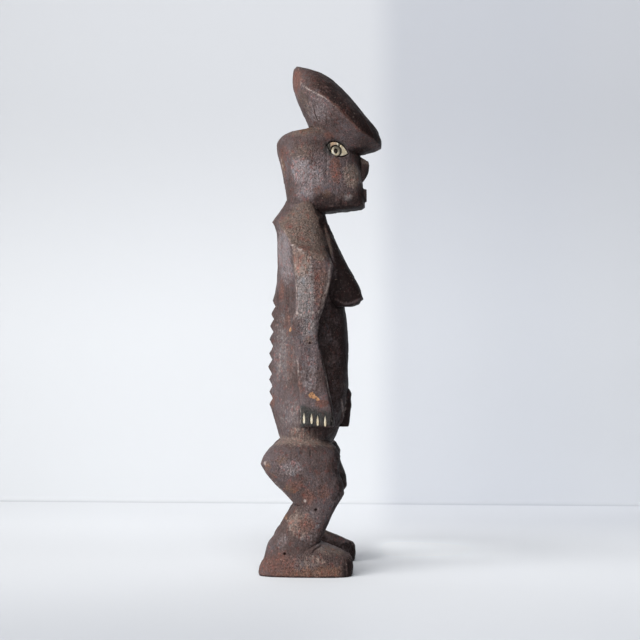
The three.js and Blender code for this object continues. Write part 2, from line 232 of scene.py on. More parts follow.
fibre_group, inside, out = start_group(
    "fibre",
    {"Vector": (VECTOR, None), "Across": (FLOAT, 900.0), "Along": (FLOAT, 40.0)},
    list(FIBRES),
)
drift = add(fibre_group, "ShaderNodeTexNoise", Vector=inside.outputs["Vector"], Scale=DRIFT["size"])
bent = vectors(fibre_group, "MULTIPLY_ADD", drift.outputs["Color"], DRIFT["by"], inside.outputs["Vector"])
across, along = inside.outputs["Across"], inside.outputs["Along"]
squeeze = add(fibre_group, "ShaderNodeCombineXYZ", X=across, Y=across, Z=along).outputs[0]
stretched = vectors(fibre_group, "MULTIPLY", bent, squeeze)
for name, kind in FIBRES.items():
    fibre_group.links.new(noise_at(fibre_group, stretched, roughness=0.6, **kind), out.inputs[name])
print("fibre:", len(fibre_group.nodes), "nodes")

# %% [markdown]
# ## Wear
#
# Handling rubs the patina off every arris and leaves dirt in every hollow. The mesh carries two
# measures of its own shape, how sharply each point stands out and how deep it lies in. This group
# breaks both up with noise, because nothing wears evenly.

# %% Wear group
WEAR_NOISE = {"detail": 4.0, "roughness": 0.65}
WEAR_SOFT = 0.5

wear_group, inside, out = start_group(
    "wear",
    {"Vector": (VECTOR, None), "Size": (FLOAT, 250.0), "Breakup": (FLOAT, 0.5)},
    ["Rubbed", "Dirty"],
)
patches = noise_at(wear_group, inside.outputs["Vector"], inside.outputs["Size"], **WEAR_NOISE)
uneven = scaled(wear_group, patches, inside.outputs["Breakup"])
for output, measure in (("Rubbed", "edge"), ("Dirty", "hollow")):
    less = sums(wear_group, "SUBTRACT", attribute(wear_group, measure), uneven)
    wear_group.links.new(ramped(wear_group, less, 0.0, WEAR_SOFT), out.inputs[output])
print("wear:", len(wear_group.nodes), "nodes")

# %% [markdown]
# ## Speckle
#
# Close to, the patina is a dense, uneven grit: dark pits, pale rubbed points and flecks in which
# the red or the grey of the wood shows. One noise gives the rubbed points and another the pits,
# scattered cells add round pits, and two slower noises give the red and the grey flecks.

# %% Speckle group
SQUAT = (1.0, 1.0, 0.8)
FLECKS = {
    "Light": {"size": 1.15, "detail": 2.0, "span": (0.52, 0.68), "shift": 0.31},
    "Pit": {"size": 1.0, "detail": 2.0, "span": (0.5, 0.34), "shift": 0.0},
    "Warm": {"size": 0.42, "detail": 3.0, "span": (0.53, 0.68), "shift": 0.57},
    "Cool": {"size": 0.36, "detail": 3.0, "span": (0.53, 0.68), "shift": 0.83},
}
CELL_PIT = {"span": (0.45, 0.2), "chance": (0.45, 0.7)}

speckle_group, inside, out = start_group(
    "speckle", {"Vector": (VECTOR, None), "Size": (FLOAT, 600.0)}, list(FLECKS)
)
squat = vectors(speckle_group, "MULTIPLY", inside.outputs["Vector"], SQUAT)


def flecks(kind):
    """A noise at a share of the group's size, spread from 0 to 1."""
    size = scaled(speckle_group, inside.outputs["Size"], kind["size"])
    moved = vectors(speckle_group, "ADD", squat, (kind["shift"], 0.0, kind["shift"]))
    cloud = noise_at(speckle_group, moved, size, kind["detail"], 0.6)
    return ramped(speckle_group, cloud, *kind["span"])


cells = add(speckle_group, "ShaderNodeTexVoronoi", Vector=squat, Scale=inside.outputs["Size"])
chance = add(speckle_group, "ShaderNodeSeparateColor", Color=cells.outputs["Color"]).outputs[0]
round_pit = ramped(speckle_group, cells.outputs["Distance"], *CELL_PIT["span"])
round_pit = scaled(speckle_group, round_pit, ramped(speckle_group, chance, *CELL_PIT["chance"]))
found = {name: flecks(kind) for name, kind in FLECKS.items()}
found["Pit"] = sums(speckle_group, "MAXIMUM", round_pit, found["Pit"])
for name, value in found.items():
    speckle_group.links.new(value, out.inputs[name])
print("speckle:", len(speckle_group.nodes), "nodes")

# %% [markdown]
# ## The wood's finish
#
# The wood is a brown that has gone mauve-grey where it is dusty, red or orange where the timber's
# own colour shows, and olive where smoke and oil have built up. The front is darkest: partly a
# patina of oil and smoke, partly painted shade where the lamps don't reach. The mauve follows a
# slow noise. Each of the others is a stain that the mesh carries as a mask, and two noises break
# up its border. Fibre, speckle and dirt lie over the stains and scale the colour under them, so a
# dark place stays dark. Rubbed lines show paler wood, and the same pale colour paints highlights
# along lit arrises and rims. Fresh chips show clean wood on top of all.

# %% Wood colours
WOOD_COLOURS = {
    "brown": (0.070, 0.047, 0.043, 1),
    "mauve": (0.102, 0.078, 0.079, 1),
    "umber": (0.052, 0.035, 0.033, 1),
    "olive": (0.116, 0.084, 0.070, 1),
    "red": (0.122, 0.062, 0.050, 1),
    "orange": (0.135, 0.078, 0.052, 1),
    "pale": (0.185, 0.157, 0.160, 1),
    "ash": (0.185, 0.160, 0.155, 1),
    "buff": (0.195, 0.145, 0.122, 1),
    "soot": (0.036, 0.036, 0.034, 1),
    "dark_and_shade": (0.0185, 0.0105, 0.0098, 1),
    "worn_and_highlit": (0.320, 0.262, 0.240, 1),
    "tan": (0.360, 0.190, 0.095, 1),
}
STAINS_IN_ORDER = ["umber", "pale", "ash", "olive", "buff", "orange", "red", "soot", "dark_and_shade"]
BRIGHTER = (2.1, 2.02, 2.0, 1)
DARKER = (0.30, 0.27, 0.26, 1)
FLECK_RED = (1.35, 0.86, 0.80, 1)
FLECK_GREY = (0.84, 0.98, 1.08, 1)
WOOD_NOISES = {
    "slow": {"scale": 24.0, "detail": 4.0, "roughness": 0.6},
    "blotch": {"scale": 120.0, "detail": 5.0, "roughness": 0.72},
    "mottle": {"scale": 520.0},
}
DUSTY = (0.4, 0.62)
BORDER = {"blotch": 1.5, "mottle": 1.4}
RIM = 0.25
LEAST_SPECKLE = 0.5
MOST_FIBRE = 1.3
PALE_LINE_BLEND = {"span": (0.2, 1.0), "share": 0.85}
FRESH_CHIP = {"border": 0.9, "span": (0.3, 0.9)}
DULLNESS = (0.5, 0.72)
DIRT_DULLNESS = 0.2
SHEEN = 0.12

# %% Wood material
wood = bpy.data.materials.new("handled_wood")
wood.use_nodes = True
tree = wood.node_tree
shader = tree.nodes["Principled BSDF"]
place = add(tree, "ShaderNodeTexCoord").outputs["Object"]
fibre = place_group(tree, fibre_group, Vector=place, Across=760.0, Along=60.0)
wear = place_group(tree, wear_group, Vector=place, Size=300.0, Breakup=0.6)
speckle = place_group(tree, speckle_group, Vector=place, Size=780.0)
slow, blotch, mottle = (noise_at(tree, place, **kind) for kind in WOOD_NOISES.values())

colour = mixed(tree, ramped(tree, slow, *DUSTY), WOOD_COLOURS["brown"], WOOD_COLOURS["mauve"])
border = scaled(tree, sums(tree, "SUBTRACT", blotch, 0.5), BORDER["blotch"])
border = sums(tree, "ADD", border, scaled(tree, sums(tree, "SUBTRACT", mottle, 0.5), BORDER["mottle"]))
for stain in STAINS_IN_ORDER:
    laid = attribute(tree, stain)
    ragged = sums(tree, "ADD", laid, border)
    broken = scaled(tree, ramped(tree, ragged, 0.0, 1.0), ramped(tree, laid, 0.0, RIM))
    colour = mixed(tree, broken, colour, WOOD_COLOURS[stain])

# %% Fibre, speckle and dirt over the stains
coarse = spanned(tree, attribute(tree, "coarse"), to_low=LEAST_SPECKLE)
plain = sums(tree, "SUBTRACT", MOST_FIBRE, coarse)
lit = scaled(tree, speckle["Light"], coarse)
pit = scaled(tree, speckle["Pit"], coarse)
WOOD_LAYERS = {
    "fine fibre": (scaled(tree, ramped(tree, fibre["Fine"], 0.55, 0.38), plain), 0.3, DARKER),
    "broad fibre": (scaled(tree, ramped(tree, fibre["Broad"], 0.58, 0.4), plain), 0.2, DARKER),
    "red flecks": (speckle["Warm"], 0.75, FLECK_RED),
    "grey flecks": (speckle["Cool"], 0.8, FLECK_GREY),
    "rubbed points": (lit, 0.9, BRIGHTER),
    "pits": (pit, 0.75, DARKER),
    "dirty hollows": (wear["Dirty"], 0.7, DARKER),
    "rubbed arrises": (wear["Rubbed"], 0.25, BRIGHTER),
}
for measure, share, tint in WOOD_LAYERS.values():
    colour = mixed(tree, scaled(tree, measure, share), colour, tint, "MULTIPLY")
# Rubbed wear and the painted highlights along lit arrises share this pale colour.
ragged = sums(tree, "ADD", attribute(tree, "worn_and_highlit"), border)
rubbed = scaled(tree, ramped(tree, ragged, *PALE_LINE_BLEND["span"]), PALE_LINE_BLEND["share"])
colour = mixed(tree, rubbed, colour, WOOD_COLOURS["worn_and_highlit"])
fresh = sums(tree, "ADD", attribute(tree, "tan"), scaled(tree, border, FRESH_CHIP["border"]))
tan = mixed(tree, speckle["Pit"], WOOD_COLOURS["tan"], WOOD_COLOURS["orange"])
colour = mixed(tree, ramped(tree, fresh, *FRESH_CHIP["span"]), colour, tan)
tree.links.new(colour, shader.inputs["Base Color"])
print("wood layers:", ", ".join(WOOD_LAYERS))

# %% Sheen and fine relief
dull = spanned(tree, blotch, 0.3, 0.7, *DULLNESS)
dull = sums(tree, "ADD", dull, scaled(tree, wear["Dirty"], DIRT_DULLNESS))
tree.links.new(dull, shader.inputs["Roughness"])
shader.inputs["Specular IOR Level"].default_value = SHEEN
height = 0.0
for measure, share in ((fibre["Fine"], 0.3), (fibre["Broad"], 0.4), (lit, 0.5), (pit, -1.0)):
    height = sums(tree, "ADD", height, scaled(tree, measure, share))
bump = add(tree, "ShaderNodeBump", Strength=0.9, Distance=0.35 * MM, Height=height)
tree.links.new(bump.outputs["Normal"], shader.inputs["Normal"])
print("wood:", len(tree.nodes), "nodes")

# %% [markdown]
# ## The inlays' finish
#
# The eyes and nails are slivers of bone. Bone is cream, takes a low polish, and shows fine brown
# pores that run along it. It yellows, and dirt gathers where it meets the wood.

# %% Bone material
BONE_COLOURS = {
    "cream": (0.78, 0.69, 0.53, 1),
    "yellow": (0.60, 0.49, 0.32, 1),
    "chalk": (0.84, 0.78, 0.63, 1),
    "dirt": (0.030, 0.026, 0.019, 1),
    "rust": (0.42, 0.24, 0.14, 1),
}
POLISH = (0.32, 0.5)

bone = bpy.data.materials.new("worn_bone")
bone.use_nodes = True
tree = bone.node_tree
shader = tree.nodes["Principled BSDF"]
place = add(tree, "ShaderNodeTexCoord").outputs["Object"]
fibre = place_group(tree, fibre_group, Vector=place, Across=2600.0, Along=420.0)
wear = place_group(tree, wear_group, Vector=place, Size=900.0, Breakup=0.4)
cloud = noise_at(tree, place, 210.0, 3.0)
colour = mixed(tree, ramped(tree, cloud, 0.36, 0.62), BONE_COLOURS["yellow"], BONE_COLOURS["cream"])
colour = mixed(tree, ramped(tree, fibre["Broad"], 0.5, 0.66), colour, BONE_COLOURS["chalk"])
for measure, share, over in (
    (ramped(tree, fibre["Fine"], 0.42, 0.3), 0.55, "dirt"),
    (attribute(tree, "red"), 0.8, "rust"),
    (attribute(tree, "soot"), 0.95, "dirt"),
    (wear["Dirty"], 0.8, "dirt"),
):
    colour = mixed(tree, scaled(tree, measure, share), colour, BONE_COLOURS[over])
tree.links.new(colour, shader.inputs["Base Color"])
tree.links.new(spanned(tree, cloud, 0.3, 0.7, *POLISH), shader.inputs["Roughness"])
bump = add(tree, "ShaderNodeBump", Strength=0.5, Distance=0.12 * MM, Height=fibre["Fine"])
tree.links.new(bump.outputs["Normal"], shader.inputs["Normal"])
print("bone:", len(tree.nodes), "nodes")

# %% [markdown]
# ## From a solid to a skin
#
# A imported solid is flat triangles, some long and thin. To carve on it the surface needs even,
# small faces. A voxel remesh of a merged copy gives them, and pulling each new vertex back to the
# nearest point of the solid keeps the slots and corners that the voxels round off.


# %% Skin helpers
MERGE_REACH = 0.002


def merged_copy(node):
    """A bmesh of a CAD node with its loose triangles joined."""
    made = bmesh.new()
    made.from_mesh(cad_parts[node].data)
    bmesh.ops.remove_doubles(made, verts=made.verts, dist=MERGE_REACH * MM)
    return made


def apply_modifiers(piece):
    """Turns a piece's modifiers into mesh."""
    graph = bpy.context.evaluated_depsgraph_get()
    piece.data = bpy.data.meshes.new_from_object(piece.evaluated_get(graph))
    piece.modifiers.clear()


def places(mesh):
    """The vertices of a mesh as rows of x, y and z, in millimetres."""
    found = np.empty(len(mesh.vertices) * 3)
    mesh.vertices.foreach_get("co", found)
    return found.reshape(-1, 3) / MM


def set_places(mesh, points):
    """Moves the vertices of a mesh to rows of x, y and z, in millimetres."""
    mesh.vertices.foreach_set("co", (points * MM).ravel())
    mesh.update()


def normals(mesh):
    """The way each vertex faces."""
    found = np.empty(len(mesh.vertices) * 3, np.float32)
    mesh.vertex_normals.foreach_get("vector", found)
    return found.reshape(-1, 3).astype(float)


def pairs_of(mesh):
    """The two vertices of every edge."""
    found = np.empty(len(mesh.edges) * 2, np.int32)
    mesh.edges.foreach_get("vertices", found)
    return found.reshape(-1, 2)


def around(values, pairs):
    """The mean over each vertex's neighbours."""
    first, second = pairs.T
    number = np.bincount(pairs.ravel(), minlength=len(values))
    totals = [
        np.bincount(first, column[second], len(values)) + np.bincount(second, column[first], len(values))
        for column in values.T
    ]
    return np.stack(totals, 1) / number[:, None]


def eased(points, pairs, rounds, weight):
    """Lets each point settle towards its neighbours, by a weight from 0 to 1."""
    for _ in range(rounds):
        points = points + weight[:, None] * (around(points, pairs) - points)
    return points


def smooth_step(values, low, high):
    """Spreads the span from low to high smoothly over 0 to 1. Low may be the larger of the two."""
    share = np.clip((values - low) / (high - low), 0, 1)
    return share * share * (3 - 2 * share)


def skin(name, node, voxel):
    """A new piece with even faces that lie on a CAD node's surface. Returns it with the solid."""
    source = merged_copy(node)
    mesh = bpy.data.meshes.new(name)
    source.to_mesh(mesh)
    piece = bpy.data.objects.new(name, mesh)
    bpy.context.scene.collection.objects.link(piece)
    remesh = piece.modifiers.new("even faces", "REMESH")
    remesh.mode = "VOXEL"
    remesh.voxel_size = voxel * MM
    remesh.use_smooth_shade = True
    apply_modifiers(piece)
    surface = BVHTree.FromBMesh(source)
    near = [surface.find_nearest(v.co)[0] for v in piece.data.vertices]
    set_places(piece.data, np.array(near) / MM)
    return piece, source


# %% [markdown]
# ## Rounding
#
# The solid's forms are faceted, and the real ones are round between a few crisp arrises. So the
# sharp edges of the solid are found first. Far from them the surface is let settle until the
# facets are gone, and close to them it is held.

# %% Rounded wood
WOOD_VOXEL = 0.75
ARRIS_DEGREES = 30
CRISP_DEGREES = 48
ARRIS_SAMPLE = 0.8
SNAP = 0.42
HELD = 0.7
FREE = 4.5
SETTLING = {"rounds": 30, "weight": 0.5}
SOFTENING = {"rounds": 2, "weight": 0.35, "reach": 1.6}


def nearest_arris(source, points, degrees):
    """The nearest place to each point on the solid's sharp edges, and its distance in millimetres."""
    sharp = [e for e in source.edges if abs(e.calc_face_angle_signed(0)) > np.radians(degrees)]
    starts, ends = (np.array([e.verts[i].co for e in sharp]) / MM for i in (0, 1))
    samples, owners = [], []
    for i, (start, end) in enumerate(zip(starts, ends)):
        steps = max(2, int(np.linalg.norm(end - start) / ARRIS_SAMPLE) + 1)
        samples += list(start + np.linspace(0, 1, steps)[:, None] * (end - start))
        owners += [i] * steps
    finder = KDTree(len(samples))
    for i, sample in enumerate(samples):
        finder.insert(sample, i)
    finder.balance()
    found = np.array([owners[finder.find(p)[1]] for p in points])
    along = (ends - starts)[found]
    share = ((points - starts[found]) * along).sum(1) / (along * along).sum(1)
    nearest = starts[found] + np.clip(share, 0, 1)[:, None] * along
    return nearest, np.linalg.norm(points - nearest, axis=1)


carving, solid = skin("carved_wood", WOOD_NODE, WOOD_VOXEL)
pairs = pairs_of(carving.data)
points = places(carving.data)
on_arris, crisp = nearest_arris(solid, points, CRISP_DEGREES)
points = np.where((crisp < SNAP)[:, None], on_arris, points)
free = smooth_step(nearest_arris(solid, points, ARRIS_DEGREES)[1], HELD, FREE)
points = eased(points, pairs, SETTLING["rounds"], SETTLING["weight"] * free)
off_arris = smooth_step(crisp, SNAP, SOFTENING["reach"])
points = eased(points, pairs, SOFTENING["rounds"], SOFTENING["weight"] * off_arris)
set_places(carving.data, points)
print("wood skin:", len(points), "points,", round(float((free < 0.5).mean()), 2), "held")

# %% [markdown]
# ## Tool marks, grain and pits
#
# An adze leaves shallow facets about a finger's width across and longer along the grain. A cell
# pattern gives each facet its own slight tilt. Drying opens the grain into fine upright furrows,
# and years of handling and insects leave small pits. The pits crowd on the head and hat, the
# shoulder, the arm, the thigh, the calf and the foot, so those places are listed: a place, its
# reach and its strength.

# %% Coarse places
COARSE = [
    ((-25, 8, 328), (12, 26, 28), 0.9),
    ((-22, -20, 318), (12, 14, 22), 1.0),
    ((-32, 12, 276), (24, 22, 28), 1.0),
    ((-47, 6, 232), (9, 15, 36), 1.0),
    ((-47, 8, 196), (9, 14, 28), 0.9),
    ((-47, 3, 162), (9, 13, 30), 0.65),
    ((-30, 0, 370), (26, 34, 26), 0.6),
    ((-44, 26, 86), (12, 18, 15), 0.9),
    ((-44, 6, 72), (12, 20, 16), 0.8),
    ((-43, 10, 42), (12, 20, 22), 0.6),
    ((-46, 6, 9), (12, 40, 15), 1.0),
    ((26, -4, 322), (12, 26, 26), 0.8),
    ((36, 12, 270), (20, 20, 26), 0.8),
    ((47, 6, 215), (9, 14, 40), 0.8),
    ((44, 16, 78), (12, 26, 18), 0.8),
    ((46, 6, 10), (12, 40, 14), 0.8),
]


def patch(points, at, reach):
    """A soft round patch: 1 in its middle, 0 past its reach."""
    share = (((points - at) / reach) ** 2).sum(1)
    return np.clip(1 - share, 0, 1)


def spread(points, spots):
    """The strongest of several patches at every point."""
    laid = [strength * smooth_step(patch(points, at, reach), 0, 1) for at, reach, strength in spots]
    return np.max(laid, 0)


def within(points, spots, border):
    """1 within any of several patches and 0 outside them, with a border between two values."""
    return np.max([smooth_step(patch(points, at, reach), *border) for at, reach in spots], 0)


coarse = spread(points, COARSE)
print("coarse share", round(float((coarse > 0.4).mean()), 2))

# %% Surface relief
FACET = {"wide": 9.0, "long": 16.0, "depth": 0.4, "tilt": 2, "mixing": 3.7}
FURROW = {"wide": 1.9, "long": 30.0, "open": 0.09, "depth": 0.08}
PIT = {"wide": 1.9, "long": 2.4, "radius": 0.4, "depth": 0.13}
CROWD = {"size": 11.0, "by": 0.6, "less": 0.3, "gain": 2}
GRAIN = {"size": 1.3, "depth": 0.2}
UNEVEN = {"size": 3.4, "depth": 0.12}
SWELL = {"size": 24.0, "depth": 0.35}
CALM_ARRIS = 0.35
CALM_REACH = 2.6
FLAT_SOLE = (0.4, 2.5)


def facet(point):
    """A knife facet: a flat that is tilted its own way within its cell."""
    spot = Vector((point.x / FACET["wide"], point.y / FACET["wide"], point.z / FACET["long"]))
    centre = noise.voronoi(spot)[1][0]
    slope = noise.noise_vector(centre * FACET["mixing"])
    return FACET["depth"] * slope.dot(spot - centre) * FACET["tilt"]


def furrow(point):
    """An open pore line of the grain, as a cut."""
    spot = Vector((point.x / FURROW["wide"], point.y / FURROW["wide"], point.z / FURROW["long"]))
    return -FURROW["depth"] * max(0.0, 1 - abs(noise.noise(spot)) / FURROW["open"])


def pitted(point, rough):
    """Small round pits and grit, where the surface is coarse."""
    crowd = rough + CROWD["by"] * noise.noise(point / CROWD["size"]) - CROWD["less"]
    if crowd <= 0:
        return 0.0
    spot = Vector((point.x / PIT["wide"], point.y / PIT["wide"], point.z / PIT["long"]))
    share = noise.voronoi(spot)[0][0] / PIT["radius"]
    grit = GRAIN["depth"] * noise.noise(point / GRAIN["size"])
    return min(1.0, CROWD["gain"] * crowd) * (grit - PIT["depth"] * max(0.0, 1 - share * share))


def relief_at(point, rough):
    """All of the relief at a point, outwards, in millimetres."""
    swell = SWELL["depth"] * noise.noise(point / SWELL["size"])
    uneven = UNEVEN["depth"] * noise.noise(point / UNEVEN["size"])
    return swell + uneven + facet(point) + furrow(point) + pitted(point, rough)


relief = np.array([relief_at(Vector(p), rough) for p, rough in zip(points, coarse)])
relief *= smooth_step(points[:, 2], *FLAT_SOLE)
relief *= CALM_ARRIS + (1 - CALM_ARRIS) * smooth_step(crisp, 0, CALM_REACH)
print("relief from", round(float(relief.min()), 2), "to", round(float(relief.max()), 2), "mm")

# %% [markdown]
# ## Lines on the surface
#
# Cracks, creases, rubbed arrises and painted highlights are all lines. Each runs through points
# (y, z), seen from the side that it names, and fades towards its ends. Out is how far from the
# middle line it starts, so that a line on the arm leaves the trunk behind it alone, and within is
# how far out it ends. A little noise keeps it from being ruled.


# %% Strokes
RIGHT, LEFT = -1, 1
WANDER = {"size": 5.0, "by": 0.25, "way": (1, 0.4)}
SIDEWAYS = (0.1, 0.35)
ANYWHERE = (-1.2, -1.1)
START_BORDER = (0.93, 1.07)
END_BORDER = (1.03, 0.97)
SEAM = 0.01
FARTHEST = 99


def along_line(flat, line):
    """How far each point of a side view is from a line, and its share of the way along it."""
    line = np.array(line, float)
    lengths = np.linalg.norm(np.diff(line, axis=0), axis=1)
    nearest, way = np.full(len(flat), np.inf), np.zeros(len(flat))
    for start, end, length, before in zip(line[:-1], line[1:], lengths, np.cumsum(lengths) - lengths):
        share = np.clip((flat - start) @ (end - start) / length**2, 0, 1)
        distance = np.linalg.norm(flat - start - share[:, None] * (end - start), axis=1)
        way = np.where(distance < nearest, (before + share * length) / lengths.sum(), way)
        nearest = np.minimum(nearest, distance)
    return nearest, way


def surface_of(points, outward):
    """Points, the way each faces, and a side view of them that a slow noise moves a little."""
    drift = [noise.noise(Vector((0, y, z)) / WANDER["size"]) for y, z in points[:, 1:]]
    wander = WANDER["by"] * np.array(drift)
    return points, outward, points[:, 1:] + wander[:, None] * WANDER["way"]


def on_side(surface, mark):
    """1 on the side that a mark names, between its start and its end, and 0 elsewhere."""
    points, outward, _ = surface
    facing = smooth_step(outward[:, 0] * mark["side"], *mark.get("facing", ANYWHERE))
    across = points[:, 0] * mark["side"]
    start, end = mark.get("out", 0), mark.get("within", FARTHEST)
    started = smooth_step(across, start * START_BORDER[0], start * START_BORDER[1] + SEAM)
    return facing * started * smooth_step(across, end * END_BORDER[0], end * END_BORDER[1])


def stroke(surface, mark):
    """1 on the middle of a line on one side of the figure, 0 past its width and its ends."""
    nearest, way = along_line(surface[2], mark["line"])
    taper = np.sqrt(np.clip(4 * way * (1 - way), 0, 1))
    line = mark.get("strength", 1) * np.clip(1 - nearest / mark["wide"], 0, 1) * taper
    return line * on_side(surface, mark)


def region(surface, mark):
    """1 inside a closed outline on one side of the figure, with a soft border."""
    flat = surface[2]
    outline = np.array(mark["outline"] + mark["outline"][:1], float)
    inside = np.zeros(len(flat), bool)
    for (y0, z0), (y1, z1) in zip(outline[:-1], outline[1:]):
        if z0 != z1:
            crosses = (z0 > flat[:, 1]) != (z1 > flat[:, 1])
            inside ^= crosses & (flat[:, 0] < y0 + (flat[:, 1] - z0) / (z1 - z0) * (y1 - y0))
    distance = along_line(flat, outline)[0] * np.where(inside, 1, -1)
    filled = mark.get("strength", 1) * smooth_step(distance, -mark["soft"], mark["soft"])
    return filled * on_side(surface, mark)


def both_sides(marks):
    """Each mark on the right side, and the same on the left."""
    return [mark | {"side": side} for mark in marks for side in (RIGHT, LEFT)]


# %% [markdown]
# ## Cracks, borer holes and chips
#
# As the log dried it split along the grain: down the side of the head, over the hip into the
# thigh, and in short checks on the hat. A cut crease marks where the shin meets the foot.
# Wood-boring insects left round holes in the calf, the foot and the arm. The wrist and the elbow
# have lost a flake of the dark surface. The unseen side has a few cracks, holes and chips too.

# %% Damage
CREASE = {"line": [(6.6, 18.4), (2.9, 22.3), (-3.0, 25.2)], "wide": 1.2, "deep": 0.6}
CRACKS = [
    {"side": RIGHT, "line": [(-4.3, 315.5), (-4.5, 331), (-4.3, 349)], "wide": 0.5, "deep": 0.4},
    {"side": RIGHT, "line": [(8.2, 122), (7.7, 115), (7.5, 110)], "wide": 0.6, "deep": 0.7},
    {"side": RIGHT, "line": [(7.4, 104), (7.2, 98), (6.6, 87)], "wide": 0.6, "deep": 0.6},
    {"side": RIGHT, "line": [(5.8, 377), (4.6, 369), (1.6, 362)], "wide": 0.6, "deep": 0.3},
    {"side": RIGHT, "line": [(-5.0, 369), (-5.0, 361.5), (-6.6, 356)], "wide": 0.5, "deep": 0.25},
    *both_sides([CREASE]),
    {"side": LEFT, "line": [(12.0, 150), (11.4, 176), (12.2, 205)], "wide": 0.9, "deep": 1.0},
    {"side": LEFT, "line": [(16.0, 312), (15.2, 334)], "wide": 0.8, "deep": 0.8},
]
HOLES = [
    {"at": (-42.5, 2.7, 53.2), "radius": 1.15, "deep": 2.6},
    {"at": (-45.5, 27.5, 18.5), "radius": 1.15, "deep": 2.6},
    {"at": (-47.6, 7.4, 185.1), "radius": 1.1, "deep": 1.6},
    {"at": (-47.0, -0.9, 14.3), "radius": 0.9, "deep": 1.0},
    {"at": (-47.8, 11.2, 4.6), "radius": 0.9, "deep": 1.0},
    {"at": (-47.8, 6.5, 2.8), "radius": 0.9, "deep": 1.0},
    {"at": (-47.5, 2.6, 208.9), "radius": 0.7, "deep": 0.9},
    {"at": (-46.5, 15.2, 208.7), "radius": 0.7, "deep": 0.9},
    {"at": (44.0, 18.5, 70.0), "radius": 1.1, "deep": 2.4},
    {"at": (18.0, 40.0, 236.0), "radius": 1.05, "deep": 2.2},
]
CHIPS = [
    {"at": (-46.8, 5.6, 143.9), "reach": (4, 2.7, 2.5), "deep": 0.5},
    {"at": (-46.9, 3.2, 142.0), "reach": (4, 2.5, 1.5), "deep": 0.4},
    {"at": (-47.0, 0.9, 140.4), "reach": (4, 1.5, 1.3), "deep": 0.4},
    {"at": (-44.6, 23.3, 195.8), "reach": (4, 1.7, 2.6), "deep": 0.3},
    {"at": (47.0, 20.5, 150.0), "reach": (4, 2.4, 4.5), "deep": 0.5},
]
HOLE_LIP = (1.15, 0.55)
CHIP_WALL = (0.1, 0.5)
CHIP_FRESH = (0.08, 0.3)


def hole_depth(points, hole):
    """How deep a borer hole goes at every point."""
    near = np.linalg.norm(points - hole["at"], axis=1)
    nearest = points[near.argmin()]
    share = np.linalg.norm(points - nearest, axis=1) / hole["radius"]
    return hole["deep"] * smooth_step(share, *HOLE_LIP)


pointing = normals(carving.data)
surface = surface_of(points, pointing)
cracked = np.zeros(len(points))
for crack in CRACKS:
    mark = stroke(surface, crack | {"facing": SIDEWAYS})
    cracked = np.maximum(cracked, mark)
    relief -= crack["deep"] * mark
for hole in HOLES:
    relief -= hole_depth(points, hole)
for chip in CHIPS:
    relief -= chip["deep"] * within(points, [(chip["at"], chip["reach"])], CHIP_WALL)
chipped = within(points, [(chip["at"], chip["reach"]) for chip in CHIPS], CHIP_FRESH)
points = points + relief[:, None] * pointing
set_places(carving.data, points)
print(len(CRACKS), "cracks,", len(HOLES), "holes and", len(CHIPS), "chips")

# %% [markdown]
# ## Measures that the finish reads
#
# A vertex that stands out from its neighbours is an arris, one that lies in is a hollow. Both are
# stored as attributes of the mesh, with the stains beside them, so the finish stays on the
# surface from every side.


# %% Edge and hollow
CLOSE_ROUNDS = 3
BROAD_ROUNDS = 14
BROAD_SHARE = 0.4
BEND_EASING = 0.5
WOOD_SHARP = 0.45


def write(mesh, name, values):
    """Stores a value at every vertex, under a name that a material can read."""
    stored = mesh.attributes.new(name, "FLOAT", "POINT")
    stored.data.foreach_set("value", np.asarray(values, np.float32))


def standing_out(points, pairs, outward, rounds):
    """How far each point stands out from what some rounds of easing leave, in millimetres."""
    return ((points - eased(points, pairs, rounds, np.ones(len(points)))) * outward).sum(1)


def measure_shape(mesh, sharp, clean=0):
    """Stores how far each vertex stands out or lies in, close by and over a wider reach."""
    points, pairs, outward = places(mesh), pairs_of(mesh), normals(mesh)
    close = standing_out(points, pairs, outward, CLOSE_ROUNDS)
    wide = standing_out(points, pairs, outward, BROAD_ROUNDS)
    bend = np.stack([close / sharp + BROAD_SHARE * wide / sharp], 1)
    bend = eased(bend, pairs, 1, np.full(len(points), BEND_EASING))[:, 0]
    write(mesh, "edge", np.clip(bend, 0, 1))
    write(mesh, "hollow", np.clip(-bend, 0, 1) * (1 - clean))
    return bend


# %% Places without dark dirt
# Dark dirt is kept off these: the smooth ledge on top of each thigh, the corners beside the nose,
# the band under the hat's ridge, the floor of each pupil, and the fresh chips.
LEDGE = {
    "outline": [(39, 109.6), (13, 110), (3, 109), (-11, 105), (-9, 101), (4, 104), (39, 103.5)],
    "soft": 1.6,
}
LEDGE_GAIN = 2
CORNERS = [((-20, -33, 322), (16, 9, 17)), ((20, -33, 322), (16, 9, 17))]
UNDER_RIDGE = [((0, 0, 354), (42, 14, 8))]
PUPIL_REACH = (3, 2.6, 2.6)
CLEAN_BORDER = (0.05, 0.5)
CLEAR_BEND = 0.3


def middle_of(node):
    """The middle of a CAD node's box, in millimetres."""
    low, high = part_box(node)
    return np.array((low + high) / 2) / MM


PUPILS = [(middle_of(node), PUPIL_REACH) for node in ("right_eye_ring", "left_eye_ring")]
surface = surface_of(places(carving.data), normals(carving.data))
ledge = np.max([region(surface, mark) for mark in both_sides([LEDGE])], 0)
clean = within(surface[0], CORNERS + UNDER_RIDGE + PUPILS, CLEAN_BORDER)
clean = np.maximum(clean, np.clip(LEDGE_GAIN * ledge, 0, 1))
bend = measure_shape(carving.data, WOOD_SHARP, np.maximum(chipped, clean))
arrises, hollows = (round(float(share.mean()), 3) for share in (bend > CLEAR_BEND, bend < -CLEAR_BEND))
print("arris share", arrises, "hollow share", hollows)
